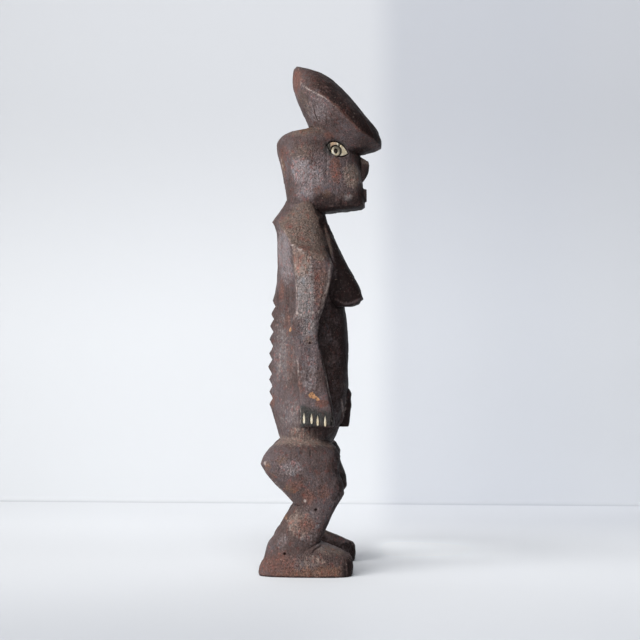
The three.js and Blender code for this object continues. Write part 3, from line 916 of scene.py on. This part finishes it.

# %% [markdown]
# ## Stains
#
# Where each stain lies on the real figure: red at the back of the hat, on the cheek, along the
# back, on the thigh and on the heel, orange along the foot, olive on the shoulder, grey on the
# head, the arm and the calf, and black round the eyes, the mouth and the fingers. Some stains paint
# light and shade instead: buff on the ledges of the thighs, and buff and ash on the side of the
# face, are painted highlights, and the dark brown down the whole front is partly a darker patina
# and partly painted shade, with painted shadows under the jaw and beside the arm and a painted
# contact shadow along the sole. Round ones are a place, its reach and its strength, and the unseen
# side has fewer of them. Others fill an outline of points (y, z), seen from the side, and lie on
# both sides.

# %% Round stains
STAINS = {
    "umber": [
        ((-30, -14, 366), (20, 16, 12), 0.5),
        ((-19, 19, 389), (7, 2.2, 2.6), 1.0),
        ((-19, 16, 381), (7, 2.2, 2.6), 0.9),
        ((-17, 13, 374), (7, 2.2, 2.4), 0.9),
        ((-20, 2, 346), (12, 16, 4), 0.8),
        ((-16, 20, 300), (12, 20, 6), 0.6),
        ((0, 40, 200), (7, 12, 70), 0.8),
    ],
    "red": [
        ((-15, 21, 395), (16, 11, 15), 1.05),
        ((-20, -7, 352), (9, 6, 5), 0.8),
        ((-24, -12, 325), (9, 6, 18), 0.85),
        ((-24, 2.4, 307.6), (8, 6, 5), 0.6),
        ((-14, 30, 338), (10, 8, 10), 0.6),
        ((-16, 31, 284), (9, 7, 4.5), 0.6),
        ((-27, 25, 278.5), (8, 5, 4), 0.7),
        ((-37, 14, 268), (7, 5, 4), 0.6),
        ((-43, 12, 260), (6, 7, 4), 0.65),
        ((-46, 2, 258), (6, 5, 8), 0.4),
        ((-46, 16, 251), (6, 6, 8), 0.45),
        ((-46, -6, 252), (6, 4, 8), 0.5),
        ((-15, 32, 229), (8, 4, 14), 0.6),
        ((-20, 27, 200), (8, 4, 15), 0.5),
        ((-22, 25, 172), (8, 5, 22), 0.45),
        ((-8, 39, 137), (8, 6, 8), 0.95),
        ((-45, 15, 150), (4, 3.5, 8), 0.6),
        ((-47, -2.5, 137.6), (5, 7, 4), 1.0),
        ((-44, 19, 73), (8, 9, 6), 0.8),
        ((-44, -4, 67), (8, 7, 8), 0.7),
        ((-43, 9, 63), (8, 8, 9), 0.7),
        ((-43, 11, 41), (8, 10, 9), 0.75),
        ((24, -10, 318), (9, 8, 14), 0.8),
        ((18, 30, 200), (8, 8, 34), 0.8),
        ((44, 5, 78), (8, 12, 16), 0.7),
        ((20, -30, 385), (18, 16, 14), 0.6),
    ],
    "orange": [
        ((-39, 41, 86), (8, 4, 6), 0.5),
        ((-39, 37, 80), (8, 5, 5), 0.5),
        ((-42, 22, 70), (8, 8, 7), 0.6),
        ((-43, 30, 92), (8, 8, 5), 0.5),
        ((-18, 14, 358), (10, 10, 4), 0.7),
        ((-19, 19, 385), (7, 5, 12), 0.5),
        ((-47.5, 8, 187), (5, 4, 4), 0.5),
        ((-46, 2, 318), (9, 5, 6), 0.4),
        ((-24, -4.8, 304.4), (9, 5, 5), 0.5),
        ((-12, 32, 328), (6, 4, 13), 0.8),
        ((-35, 27, 46), (6, 3, 3), 0.8),
    ],
    "olive": [
        ((-16, 12, 356), (18, 22, 7), 0.8),
        ((-24, 14, 376), (10, 10, 16), 0.6),
        ((-24, 16, 338), (10, 16, 8), 0.6),
        ((-38, -10, 21), (14, 18, 7), 0.7),
        ((24, -10, 30), (20, 24, 9), 1.1),
        ((24, 16, 282), (20, 22, 26), 0.8),
    ],
    "pale": [
        ((-24, 17, 324), (10, 12, 16), 0.9),
        ((-25, 5, 318), (8, 9, 14), 0.8),
        ((-22, 12, 306), (9, 12, 9), 0.6),
        ((-26, 30, 256), (24, 16, 32), 0.85),
        ((-26, 0, 372), (20, 22, 15), 0.5),
        ((-42, 8, 38), (8, 12, 20), 0.35),
        ((-34, -8, 23), (16, 18, 7), 0.9),
        ((24, -10, 32), (18, 24, 7), 0.8),
        ((-45, 22, 86), (8, 14, 9), 0.6),
        ((-42, 29, 27), (8, 6, 11), 0.4),
        ((-46, 8, 160), (6, 9, 20), 0.5),
        ((24, 14, 325), (12, 18, 20), 0.8),
        ((0, 20, 392), (30, 18, 16), 0.4),
    ],
    "ash": [
        ((-21, -22, 302), (7, 5, 4), 0.6),
        # These two, and the buff at the same place, are painted light on the side of the face, which turns
        # away from the lamps.
        ((-18, -25, 321), (10, 9, 13), 0.9),
        ((-18, -31, 321), (10, 4, 12), 0.9),
        ((-46, 8, 196), (6, 9, 16), 0.7),
        ((-44, 23, 84), (8, 6, 5), 0.5),
        ((-20, 30, 178), (24, 15, 40), 0.45),
        ((-26, 20, 125), (26, 22, 20), 0.4),
    ],
    "buff": [
        ((-46, -4, 226), (6, 6, 22), 0.5),
        ((-46, 8, 12), (6, 18, 8), 0.4),
        # Painted light on the side of the face, with the ash there.
        ((-20, -26, 320), (12, 11, 14), 1.0),
        ((-42, 16, 42), (12, 14, 14), 0.7),
        ((-40, 20, 112), (14, 24, 9), 0.5),
        ((0, -36, 333), (8, 8, 4), 0.9),
        ((-12, -36, 298), (10, 4, 5), 0.5),
    ],
    "soot": [
        ((-21, -12, 341), (11, 13, 9), 1.15),
        ((21, -12, 341), (11, 13, 9), 1.15),
        ((0, -40.5, 321.5), (11, 7, 8), 1.3),
        ((0, -40, 308), (12, 5, 3.8), 1.2),
    ],
    # Dark: partly a darker patina on the front, partly painted shade where the lamps don't reach, with
    # painted shadows under the jaw and on the neck.
    "dark_and_shade": [
        ((0, -22, 185), (33, 26, 70), 1.5),
        ((0, -22, 236), (34, 30, 36), 1.5),
        ((0, -12, 276), (27, 17, 13), 1.2),
        ((-22, 0, 292), (10, 7, 8), 1.1),
        ((-22, -1, 282), (14, 3.5, 9), 1.1),
        ((0, -32, 343), (24, 16, 8), 1.2),
        ((0, -25, 128), (26, 14, 22), 1.5),
        ((0, -18, 110), (44, 18, 14), 1.1),
        ((0, -26, 86), (56, 22, 32), 1.0),
        ((0, -18, 48), (56, 14, 24), 0.9),
    ],
}

# %% Stains with an outline
JAW = [(7, 294), (6, 303), (-3, 305.5), (-12, 304), (-20, 299.5), (-27, 302), (-33, 309)]
JAW += [(-37, 308), (-37, 286), (0, 284), (6, 288)]
CHEST = [(-2, 285), (-9, 262), (-12, 248), (-40, 225), (-40, 250), (-10, 290)]
SHOULDER = [(38, 283), (26, 270), (22, 262), (15, 259), (6, 252), (-2, 248), (-10, 256)]
SHOULDER += [(-8, 270), (0, 290), (10, 300), (20, 296), (28, 290)]
UPPER_ARM = [(22, 262), (15, 259), (6, 252), (8, 240), (14, 236), (20, 240)]
ARM_SIDE = [(18, 250), (6, 250), (4, 225), (6, 205), (18, 205), (18, 230)]
ARM_FRONT = [(4, 250), (-8, 250), (-6, 232), (0, 210), (4, 225)]
HAND = [(15, 136.5), (4, 133), (-6, 131), (-14, 128), (-16, 119), (15, 119)]
BELLY = [(7, 121), (7, 111), (-4, 107), (-25, 103), (-25, 121)]
THIGH_FRONT = [(-14, 105), (-16, 90), (-14, 75), (-10, 60), (-30, 60), (-40, 100)]
HEEL = [(48, 12), (30, 21), (18, 14), (18, -2), (48, -2)]
SOLE_EDGE = [(35, -2), (-17, -2), (-17, 9), (10, 8), (35, 5)]
TOES = [(-19.5, 14.5), (-60, 14.5), (-60, -2), (-18.5, -2)]
SOLE = [(60, 1.4), (60, -3), (-60, -3), (-60, 1.4)]
BREAST = [(-14, 262), (-12, 250), (-12.5, 240), (-9.5, 226), (-7, 212), (-42, 210), (-44, 235), (-22, 262)]
TRUNK_FRONT = [(4, 250), (3, 225), (4, 205), (3, 180), (0, 150), (-3, 124), (-42, 124), (-42, 250)]
FILLS = {
    # Umber on the jaw's lower part, like the dark there, is painted shade.
    "umber": [{"outline": JAW, "soft": 2.5, "strength": 0.9}],
    "olive": [{"outline": SHOULDER, "soft": 0.8, "strength": 0.95, "out": 18}],
    "ash": [{"outline": ARM_SIDE, "soft": 3, "strength": 0.95, "out": 36}],
    "buff": [
        {"outline": UPPER_ARM, "soft": 2, "strength": 0.7, "out": 30},
        # A painted highlight on the top of each thigh's ledge, which faces up to the light.
        {"outline": LEDGE["outline"], "soft": 2.4, "strength": 0.7},
    ],
    "red": [
        {"outline": ARM_FRONT, "soft": 2, "strength": 0.4, "out": 36},
        {"outline": HEEL, "soft": 5, "strength": 0.7},
        {"outline": SOLE_EDGE, "soft": 5, "strength": 0.45},
    ],
    "orange": [{"outline": SOLE_EDGE, "soft": 4, "strength": 0.85}],
    "soot": [{"outline": HAND, "soft": 1.6, "strength": 0.9, "out": 38}],
    # Painted shade on the belly, the chest, the thighs, the toes and the jaw, painted shadow where the arm
    # falls on the breast and the trunk, and a painted contact shadow along the sole.
    "dark_and_shade": [
        {"outline": BELLY, "soft": 4, "strength": 0.45},
        {"outline": BREAST, "soft": 1.5, "strength": 1.0},
        {"outline": TRUNK_FRONT, "soft": 1.5, "strength": 0.62, "within": 33},
        {"outline": SOLE, "soft": 0.6, "strength": 0.8},
        {"outline": THIGH_FRONT, "soft": 5, "strength": 0.6},
        {"outline": TOES, "soft": 2.5, "strength": 0.95},
        {"outline": JAW, "soft": 3, "strength": 0.45},
        {"outline": CHEST, "soft": 1.5, "strength": 1.0},
    ],
}

# %% Rubbed lines and painted highlights
HAT_RIDGE = [(18, 396.7), (13.5, 390.8), (7.6, 386.3), (1.1, 382.7), (-4.8, 379), (-9, 375.6)]
HAT_FRONT_RIDGE = [(-6, 378), (-12.7, 372.3), (-17.5, 367), (-23.8, 360.7), (-31.6, 353.5)]
BREAST_RIM = [(-11, 220), (-13.5, 219.5), (-17.6, 217), (-21, 216), (-26, 217.2), (-30, 219)]
BREAST_RIM += [(-34, 222)]
ARM_STRIP = [(-9.4, 265), (-9.6, 256), (-9.1, 248.5), (-8.5, 241), (-7.5, 233), (-5.9, 226)]
ARM_STRIP += [(-4.3, 219), (-2.3, 211.5), (-0.9, 207), (0.6, 202), (1.6, 192)]
BEHIND_STRIP = 2.4
ARM_LINE = [(y + BEHIND_STRIP, z) for y, z in ARM_STRIP]


def right_line(line, wide, strength, out=0):
    """A line on the right side of the figure."""
    return {"side": RIGHT, "line": line, "wide": wide, "strength": strength, "out": out}


# Pale lines along arrises and rims: painted highlights where they catch the light, over some real rubbing.
# The strip down the arm's front and the lines on the side of the face are painted light on surfaces that
# lie in shade.
RUBBED_AND_HIGHLIT_LINES = [
    right_line(HAT_RIDGE, wide=1.0, strength=1.3),
    right_line(HAT_FRONT_RIDGE, wide=0.8, strength=0.35),
    right_line([(-5.8, 348), (-5.9, 316)], wide=0.8, strength=0.6),
    right_line([(38, 283), (30.7, 276.4), (25.9, 270.2), (22, 262.5)], wide=0.9, strength=0.5),
    right_line([(22, 262.5), (15.5, 258.8), (6.5, 252.4)], wide=1.1, strength=0.7, out=30),
    right_line([(19, 252), (18.4, 231), (17.6, 214)], wide=1.0, strength=0.75, out=40),
    right_line([(17.8, 212), (20, 205), (22.4, 198)], wide=0.9, strength=0.4, out=40),
    right_line([(18, 182), (17, 170), (16, 158), (15.2, 144)], wide=1.3, strength=0.5, out=40),
    right_line([(15, 138), (14.6, 128), (14.4, 119)], wide=0.9, strength=0.5, out=38),
    right_line([(-1.8, 176), (-4.1, 166), (-7.2, 148), (-10.3, 134)], wide=0.9, strength=0.75, out=34),
    right_line([(-17, 140), (-17.4, 134), (-18, 123)], wide=1.1, strength=0.8, out=3),
    right_line([(-20.3, 141), (-19.6, 134), (-18.7, 127)], wide=0.9, strength=0.6, out=3),
    right_line(BREAST_RIM, wide=0.9, strength=0.25),
    right_line([(-8.4, 128.5), (-10.6, 121)], wide=0.8, strength=0.9, out=34),
    right_line([(48, 87), (45, 83.5), (32.6, 70.4), (21.6, 57.6)], wide=1.5, strength=0.6),
    right_line([(11, 60), (21, 42), (31, 25)], wide=1.0, strength=0.45),
    right_line([(34, 338), (31, 326), (29, 321)], wide=0.9, strength=0.6),
    right_line(ARM_STRIP, wide=1.7, strength=0.8, out=36),
    right_line([(-32, 330), (-31.8, 322), (-32.8, 310)], wide=1.2, strength=0.6, out=3),
]
# Along some painted highlights the painted shade and the soot are lifted, and a little of the pale colour
# is laid.
HIGHLIT_LINES = [
    right_line(ARM_STRIP, wide=2.4, strength=1.5, out=36),
    right_line(BREAST_RIM, wide=1.3, strength=1.0),
    right_line([(-34.2, 311), (-34.6, 303), (-35, 294)], wide=1.6, strength=0.8, out=3),
    right_line([(-31, 329), (-32.2, 324), (-33, 314)], wide=1.8, strength=0.9, out=3),
    right_line([(-16.8, 140), (-17.4, 133.6), (-18, 122)], wide=1.3, strength=0.8),
    right_line([(-20.3, 141), (-19.6, 134), (-18.7, 127)], wide=1.2, strength=0.7),
    right_line([(-20.6, 16), (-21.5, 8), (-21.6, 1)], wide=1.0, strength=0.8),
]
DARK_LINE = right_line(ARM_LINE, wide=1.0, strength=0.8, out=36)
FLAKES = [
    ((-41, 21.5, 262.3), (5, 1.8, 1.3), 1.1),
    ((-45.4, 15.2, 258.8), (5, 2.6, 1.3), 1.2),
    ((-46.3, 6.8, 252.6), (5, 1.4, 1.8), 1.0),
    ((-15.1, -29.2, 321.4), (4, 1.2, 1.5), 1.1),
    ((-47, 17, 208.4), (6, 2.2, 2.0), 1.1),
    ((-47.5, 4.4, 209.2), (6, 1.8, 1.8), 1.0),
    ((-47.5, 0.4, 209.6), (6, 1.6, 1.8), 0.9),
    ((-42.2, 11.3, 59.9), (6, 2.2, 1.9), 1.2),
    ((-36, 44, 89), (8, 1.8, 1.8), 0.8),
]

# %% Stain masks
WHOLE_RIDGE = HAT_RIDGE + HAT_FRONT_RIDGE[1:]
HAT_TOP = {
    "outline": [(24, 404)] + WHOLE_RIDGE + [(-41, 349), (-70, 349), (-70, 430), (24, 430)],
    "soft": 1.2,
}
HAT_TOP_FADES = (20, -10)
HAT_TOP_SHARE = {"dark_and_shade": 0.85, "red": 0.9, "less in band": 0.6}
RIDGE_BAND = 3.5
# Painted shade on what faces forwards, away from the lamps; on the head only where it faces straight
# forwards.
FORWARD_SHADE = {"from": 0.5, "to": 1.0, "strength": 0.85}
HEAD_FROM = (284, 292)
HEAD_FRONT = (0.8, 0.97)
SHADOW_UNDER_JAW = {"slope": (0.15, 0.5), "low": (283, 286), "high": (300, 296), "front": (6, 0)}
INNER_SHADE = {"from": 0.2, "to": 0.8, "strength": 0.75, "top": (112, 104), "middle": (3, 7)}
FOOT_TOP = (38, 32)
FOOT_LIT = (0.05, 0.4)
PUPIL_BORDER = (0, 0.4)
HIGHLIGHT_LIFT = {"gain": 1.6, "less dark": 0.8, "less soot": 0.7, "worn_and_highlit": 0.25}
CRACK_DARKNESS = 1.1


def crown_of_hat(surface):
    """1 on the hat's top, above its ridge, and fading towards the back."""
    top = np.max([region(surface, mark) for mark in both_sides([HAT_TOP])], 0)
    return top * smooth_step(surface[0][:, 1], *HAT_TOP_FADES)


def ridge_band(surface):
    """1 on the reddish band that runs along the hat's ridge."""
    return np.clip(1 - along_line(surface[2], WHOLE_RIDGE)[0] / RIDGE_BAND, 0, 1)


def shade_facing_forward(surface):
    """Painted shade where the surface faces forwards, but for the corners beside the nose."""
    points, outward, _ = surface
    on_head = smooth_step(points[:, 2], *HEAD_FROM)
    forward = smooth_step(-outward[:, 1], *HEAD_FRONT) * on_head
    forward += smooth_step(-outward[:, 1], FORWARD_SHADE["from"], FORWARD_SHADE["to"]) * (1 - on_head)
    return FORWARD_SHADE["strength"] * forward * (1 - within(points, CORNERS, CLEAN_BORDER))


def shadow_under_jaw(surface):
    """1 on the underside of the jaw, where a shadow is painted."""
    points, outward, _ = surface
    under = smooth_step(-outward[:, 2], *SHADOW_UNDER_JAW["slope"])
    under = under * smooth_step(points[:, 1], *SHADOW_UNDER_JAW["front"])
    height = smooth_step(points[:, 2], *SHADOW_UNDER_JAW["low"]) * smooth_step(points[:, 2], *SHADOW_UNDER_JAW["high"])
    return under * height


def inner_side_shade(surface):
    """How much painted shade lies on the sides of the legs and feet that face each other."""
    points, outward, _ = surface
    inward = smooth_step(-outward[:, 0] * np.sign(points[:, 0]), INNER_SHADE["from"], INNER_SHADE["to"])
    apart = smooth_step(np.abs(points[:, 0]), *INNER_SHADE["middle"])
    on_foot = smooth_step(points[:, 2], *FOOT_TOP)
    lit = on_foot * smooth_step(outward[:, 2], *FOOT_LIT)
    return INNER_SHADE["strength"] * inward * apart * (1 - lit) * smooth_step(points[:, 2], *INNER_SHADE["top"])


def laid_stains(surface):
    """The round and the outlined stains, by name."""
    masks = {}
    for name, spots in STAINS.items():
        fills = [region(surface, mark) for mark in both_sides(FILLS.get(name, []))]
        masks[name] = np.max([spread(surface[0], spots)] + fills, 0)
    return masks


def stain_masks(mesh, surface):
    """Stores every mask that the wood's finish reads."""
    masks = laid_stains(surface)
    top = crown_of_hat(surface)
    highlit = np.max([stroke(surface, mark) for mark in HIGHLIT_LINES], 0)
    highlight_lift = np.clip(HIGHLIGHT_LIFT["gain"] * highlit, 0, 1)
    pupils = within(surface[0], PUPILS, PUPIL_BORDER)
    # The hat's top faces away from the lamps and gets painted shade, less of it along the ridge.
    hat_top_shade = HAT_TOP_SHARE["dark_and_shade"] * top * (1 - HAT_TOP_SHARE["less in band"] * ridge_band(surface))
    # The dark stains, partly patina and partly painted shade, join the painted shade on what faces
    # forwards, under the jaw, on the hat's top and on the sides of the legs that face each other.
    dark_and_shade = [masks["dark_and_shade"], shade_facing_forward(surface), shadow_under_jaw(surface), hat_top_shade, inner_side_shade(surface)]
    dark_and_shade = np.max(dark_and_shade + [stroke(surface, DARK_LINE)], 0)
    dark_and_shade = dark_and_shade * (1 - HIGHLIGHT_LIFT["less dark"] * highlight_lift) * (1 - pupils)
    # The cracks and the crease are painted dark as well, for their dirt and for their shade.
    masks["dark_and_shade"] = np.maximum(dark_and_shade, CRACK_DARKNESS * cracked)
    masks["red"] = np.maximum(masks["red"], HAT_TOP_SHARE["red"] * top)
    masks["soot"] = masks["soot"] * (1 - HIGHLIGHT_LIFT["less soot"] * highlight_lift) * (1 - pupils)
    # The floor of each pupil is painted pale against its shade.
    masks["buff"] = np.maximum(masks["buff"], pupils)
    worn_and_highlit = [stroke(surface, mark) for mark in RUBBED_AND_HIGHLIT_LINES]
    masks["worn_and_highlit"] = np.max(worn_and_highlit + [spread(surface[0], FLAKES), HIGHLIGHT_LIFT["worn_and_highlit"] * highlit], 0)
    masks["tan"] = chipped
    masks["coarse"] = coarse * (1 - ledge)
    for name, mask in masks.items():
        write(mesh, name, mask)
    return masks


masks = stain_masks(carving.data, surface)
print("masks:", ", ".join(masks))

# %% [markdown]
# ## Fewer faces where it is smooth
#
# The skin is fine enough to carve on and finer than it needs to be on plain areas. A collapse
# decimation keeps the small faces at arrises, cracks and pits and merges those between them.

# %% Lighter wood
MOST_TRIANGLES = 192000


def triangles_in(mesh):
    """How many triangles the faces of a mesh hold."""
    return sum(len(face.vertices) - 2 for face in mesh.polygons)


before = triangles_in(carving.data)
lighter = carving.modifiers.new("lighter", "DECIMATE")
lighter.ratio = min(1.0, MOST_TRIANGLES / before)
lighter.use_collapse_triangulate = True
apply_modifiers(carving)
carving.data.materials.clear()
carving.data.materials.append(wood)
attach(carving, "root")
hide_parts(WOOD_NODE)
print("wood:", before, "triangles, now", triangles_in(carving.data))

# %% [markdown]
# ## The inlays
#
# Each sliver was sawn, filed to fit its socket and bedded in resin. Filing leaves the corners
# soft and the face slightly crowned, and age has roughened it a little. The same skin, with much
# smaller voxels, is eased all over, and the plates and the nails are crowned in the middle.

# %% Bone inlays
INLAYS = {
    "plate": {"voxel": 0.24, "crown": 0.35, "rounds": 5, "rough": 0.05},
    "ring": {"voxel": 0.2, "crown": 0.0, "rounds": 6, "rough": 0.05},
    "nail": {"voxel": 0.17, "crown": 0.25, "rounds": 4, "rough": 0.04},
}
EASING = 0.45
ROUGH_FINENESS = 1.3
BONE_SHARP = 0.16
BURIED = (0.1, 0.9)
SEAT_DIRT = (1.5, 0.9)
REAR_DIRT = {"span": (4.6, 6.2), "share": 1.1}
PLATE_CRACK = [(-14.5, 341.0), (-14.6, 345.0), (-14.2, 350.0)]
CRACK_REACH = (0.8, 0.3)
PLATE_RUST = {"rear": (0.3, 1.2), "above": (-0.5, 1.0), "share": 0.8}
RING_DIRT = {"span": (-0.6, 0.7), "share": 0.85}
NAIL_DIRT = {"span": (-1.0, 4.0), "least": 0.25, "share": 0.5}


def thinnest_way(points):
    """The direction in which a flat piece is thinnest."""
    centred = points - points.mean(0)
    return np.linalg.svd(centred.T @ centred)[0][:, 2]


def facing_of(node):
    """The way an inlay's face looks: straight out of its socket, away from the middle line."""
    sideways = np.array([1.0, 0, 0])
    axis = sideways if "nail" in node else thinnest_way(places(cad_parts[node].data))
    return axis * np.sign(axis @ (sideways * np.sign(middle_of(node)[0])))


def crown(piece, kind, axis):
    """Eases an inlay all over, then crowns its face and roughens it. Returns its points and middle."""
    points = places(piece.data)
    points = eased(points, pairs_of(piece.data), kind["rounds"], np.full(len(points), EASING))
    set_places(piece.data, points)
    centre = (points.max(0) + points.min(0)) / 2
    across = points - centre - ((points - centre) @ axis)[:, None] * axis
    reach = np.linalg.norm(across, axis=1)
    raised = kind["crown"] * (1 - (reach / reach.max()) ** 2)
    rough = kind["rough"] * np.array([noise.noise(Vector(p * ROUGH_FINENESS)) for p in points])
    outward = normals(piece.data)
    facing = np.clip(outward @ axis, 0, 1)
    points = points + (raised * facing)[:, None] * axis + rough[:, None] * outward
    set_places(piece.data, points)
    return points, centre


def seat_distance(node, points):
    """How far each point of a plate lies outside the rim of its ring, in millimetres."""
    low, high = (np.array(corner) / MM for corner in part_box(node.replace("plate", "ring")))
    return np.linalg.norm(points[:, 1:] - (low + high)[1:] / 2, axis=1) - (high - low)[2] / 2


def dirt_on(node, points, centre, axis):
    """Where dirt has gathered on an inlay."""
    depth = (points - centre) @ axis
    rear, above = points[:, 1] - centre[1], points[:, 2] - centre[2]
    dirt = [smooth_step(depth, BURIED[0] * depth.max(), BURIED[1] * depth.min())]
    if "plate" in node:
        dirt.append(smooth_step(seat_distance(node, points), *SEAT_DIRT))
        dirt.append(REAR_DIRT["share"] * smooth_step(rear, *REAR_DIRT["span"]))
    if node == "right_eye_plate":
        dirt.append(smooth_step(along_line(points[:, 1:], PLATE_CRACK)[0], *CRACK_REACH))
    if "ring" in node:
        slope = (above - rear) / (np.sqrt(2) * above.max())
        dirt.append(RING_DIRT["share"] * smooth_step(slope, *RING_DIRT["span"]))
    if "nail" in node:
        dirt.append(NAIL_DIRT["least"] + NAIL_DIRT["share"] * smooth_step(above, *NAIL_DIRT["span"]))
    return np.max(dirt, 0)


def rust_on(node, points, centre):
    """Rust, which only the right plate has, above and behind its middle."""
    if node != "right_eye_plate":
        return np.zeros(len(points))
    rear, above = points[:, 1] - centre[1], points[:, 2] - centre[2]
    behind = PLATE_RUST["share"] * smooth_step(rear, *PLATE_RUST["rear"])
    return behind * smooth_step(above, *PLATE_RUST["above"])


for node in INLAY_NODES:
    kind = INLAYS[next(key for key in INLAYS if key in node)]
    axis = facing_of(node)
    piece, _ = skin(node + "_bone", node, kind["voxel"])
    points, centre = crown(piece, kind, axis)
    measure_shape(piece.data, BONE_SHARP)
    write(piece.data, "soot", dirt_on(node, points, centre, axis))
    write(piece.data, "red", rust_on(node, points, centre))
    piece.data.materials.clear()
    piece.data.materials.append(bone)
    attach(piece, "root")
    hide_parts(node)
    print(piece.name, triangles_in(piece.data), "triangles")

# %% [markdown]
# ## Floor and wall
#
# The figure stands on a pale surface that turns up into a pale wall. They belong to the studio,
# so they are staged and never part of the object.

# %% Backdrop
WALL_X = 404.0
NEAR_X = -1500.0
WALL_TOP = 2200.0
RIGHT_REACH = 440.0
LEFT_REACH = 1500.0
COVE = 5.0
COVE_STEPS = 6

sweep = bmesh.new()
side_view = ((NEAR_X, 0), (WALL_X, 0), (WALL_X, WALL_TOP))
corner = [sweep.verts.new(Vector((x, -RIGHT_REACH, z)) * MM) for x, z in side_view]
for pair in zip(corner[:-1], corner[1:]):
    sweep.edges.new(pair)
bmesh.ops.bevel(
    sweep,
    geom=[corner[1]],
    offset=COVE * MM,
    segments=COVE_STEPS,
    profile=0.5,
    affect="VERTICES",
    material=-1,
)
grown = bmesh.ops.extrude_edge_only(sweep, edges=sweep.edges[:])["geom"]
far = [v for v in grown if isinstance(v, bmesh.types.BMVert)]
bmesh.ops.translate(sweep, verts=far, vec=Vector((0, LEFT_REACH + RIGHT_REACH, 0)) * MM)
bmesh.ops.recalc_face_normals(sweep, faces=sweep.faces)
if sum(face.normal.z for face in sweep.faces) < 0:
    bmesh.ops.reverse_faces(sweep, faces=sweep.faces)
backdrop_mesh = bpy.data.meshes.new("backdrop")
sweep.to_mesh(backdrop_mesh)
backdrop_mesh.shade_smooth()
backdrop = bpy.data.objects.new("backdrop", backdrop_mesh)
bpy.context.scene.collection.objects.link(backdrop)

# The paper's colour carries painted light and shade. Painted shade makes it duller at the window's
# end, towards the camera, and on the wall, most of all high up. Painted light makes it paler behind
# the figure, less so to the right, and where the shadow of the feet falls, which keeps the shadow
# faint. Its back isn't there at all, so that the figure can be seen from behind the wall.
PAPER_LEFT = (0.56, 0.57, 0.585, 1)
PAPER_RIGHT = (0.90, 0.915, 0.94, 1)
PAPER_SPAN = (0.45, -0.40)
STEP_Y = (-0.025, -0.070)
FLOOR_SHADE_STEP = (0.86, 0.865, 0.88, 1)
FLOOR_STEP_X = (0.12, 0.30)
WALL_SHADE_STEP = (0.955, 0.96, 0.975, 1)
WALL_STEP_ENDS = (-0.32, -0.20)
NEAR_SHADE_LEFT = (0.65, 0.657, 0.675, 1)
NEAR_SHADE_RIGHT = (0.755, 0.76, 0.775, 1)
FRONT_X = (0.06, -0.36)
FRONT_Y = (0.04, -0.08)
BACK_LIGHT = (1.14, 1.14, 1.14, 1)
BACK_X = (0.04, 0.26)
SHADOW_LIFT_TINT = (1.42, 1.42, 1.40, 1)
SHADOW_LIFT_X = ((0.02, 0.08), (0.17, 0.10))
SHADOW_LIFT_Y = ((-0.03, -0.06), (-0.19, -0.06))
WALL_SHADE = (0.775, 0.78, 0.785, 1)
WALL_STARTS = (0.392, 0.398)
HIGH_WALL_SHADE = (0.78, 0.78, 0.79, 1)
HIGH_Z = (0.16, 0.46)
PAPER_DULLNESS = 0.85

paper = bpy.data.materials.new("pale_paper")
paper.use_nodes = True
tree = paper.node_tree
shader = tree.nodes["Principled BSDF"]
place = add(tree, "ShaderNodeTexCoord").outputs["Object"]
across = add(tree, "ShaderNodeSeparateXYZ", Vector=place)
colour = mixed(tree, spanned(tree, across.outputs["Y"], *PAPER_SPAN), PAPER_LEFT, PAPER_RIGHT)
step = ramped(tree, across.outputs["Y"], *STEP_Y)
on_floor = scaled(tree, step, ramped(tree, across.outputs["X"], *FLOOR_STEP_X))
colour = mixed(tree, on_floor, colour, FLOOR_SHADE_STEP, "MULTIPLY")
on_wall = scaled(tree, step, ramped(tree, across.outputs["X"], *WALL_STARTS))
on_wall = scaled(tree, on_wall, ramped(tree, across.outputs["Y"], *WALL_STEP_ENDS))
colour = mixed(tree, on_wall, colour, WALL_SHADE_STEP, "MULTIPLY")
near_shade_tint = mixed(tree, ramped(tree, across.outputs["Y"], *FRONT_Y), NEAR_SHADE_LEFT, NEAR_SHADE_RIGHT)
for axis, span, tint in (
    ("X", FRONT_X, near_shade_tint),
    ("X", BACK_X, BACK_LIGHT),
    ("X", WALL_STARTS, WALL_SHADE),
    ("Z", HIGH_Z, HIGH_WALL_SHADE),
):
    colour = mixed(tree, ramped(tree, across.outputs[axis], *span), colour, tint, "MULTIPLY")
shadow_lift = 1.0
for axis, spans in (("X", SHADOW_LIFT_X), ("Y", SHADOW_LIFT_Y)):
    for span in spans:
        shadow_lift = scaled(tree, ramped(tree, across.outputs[axis], *span), shadow_lift)
colour = mixed(tree, shadow_lift, colour, SHADOW_LIFT_TINT, "MULTIPLY")
tree.links.new(colour, shader.inputs["Base Color"])
shader.inputs["Roughness"].default_value = PAPER_DULLNESS
behind = add(tree, "ShaderNodeNewGeometry").outputs["Backfacing"]
tree.links.new(sums(tree, "SUBTRACT", 1.0, behind), shader.inputs["Alpha"])
backdrop_mesh.materials.append(paper)
print("backdrop:", len(backdrop_mesh.polygons), "faces")
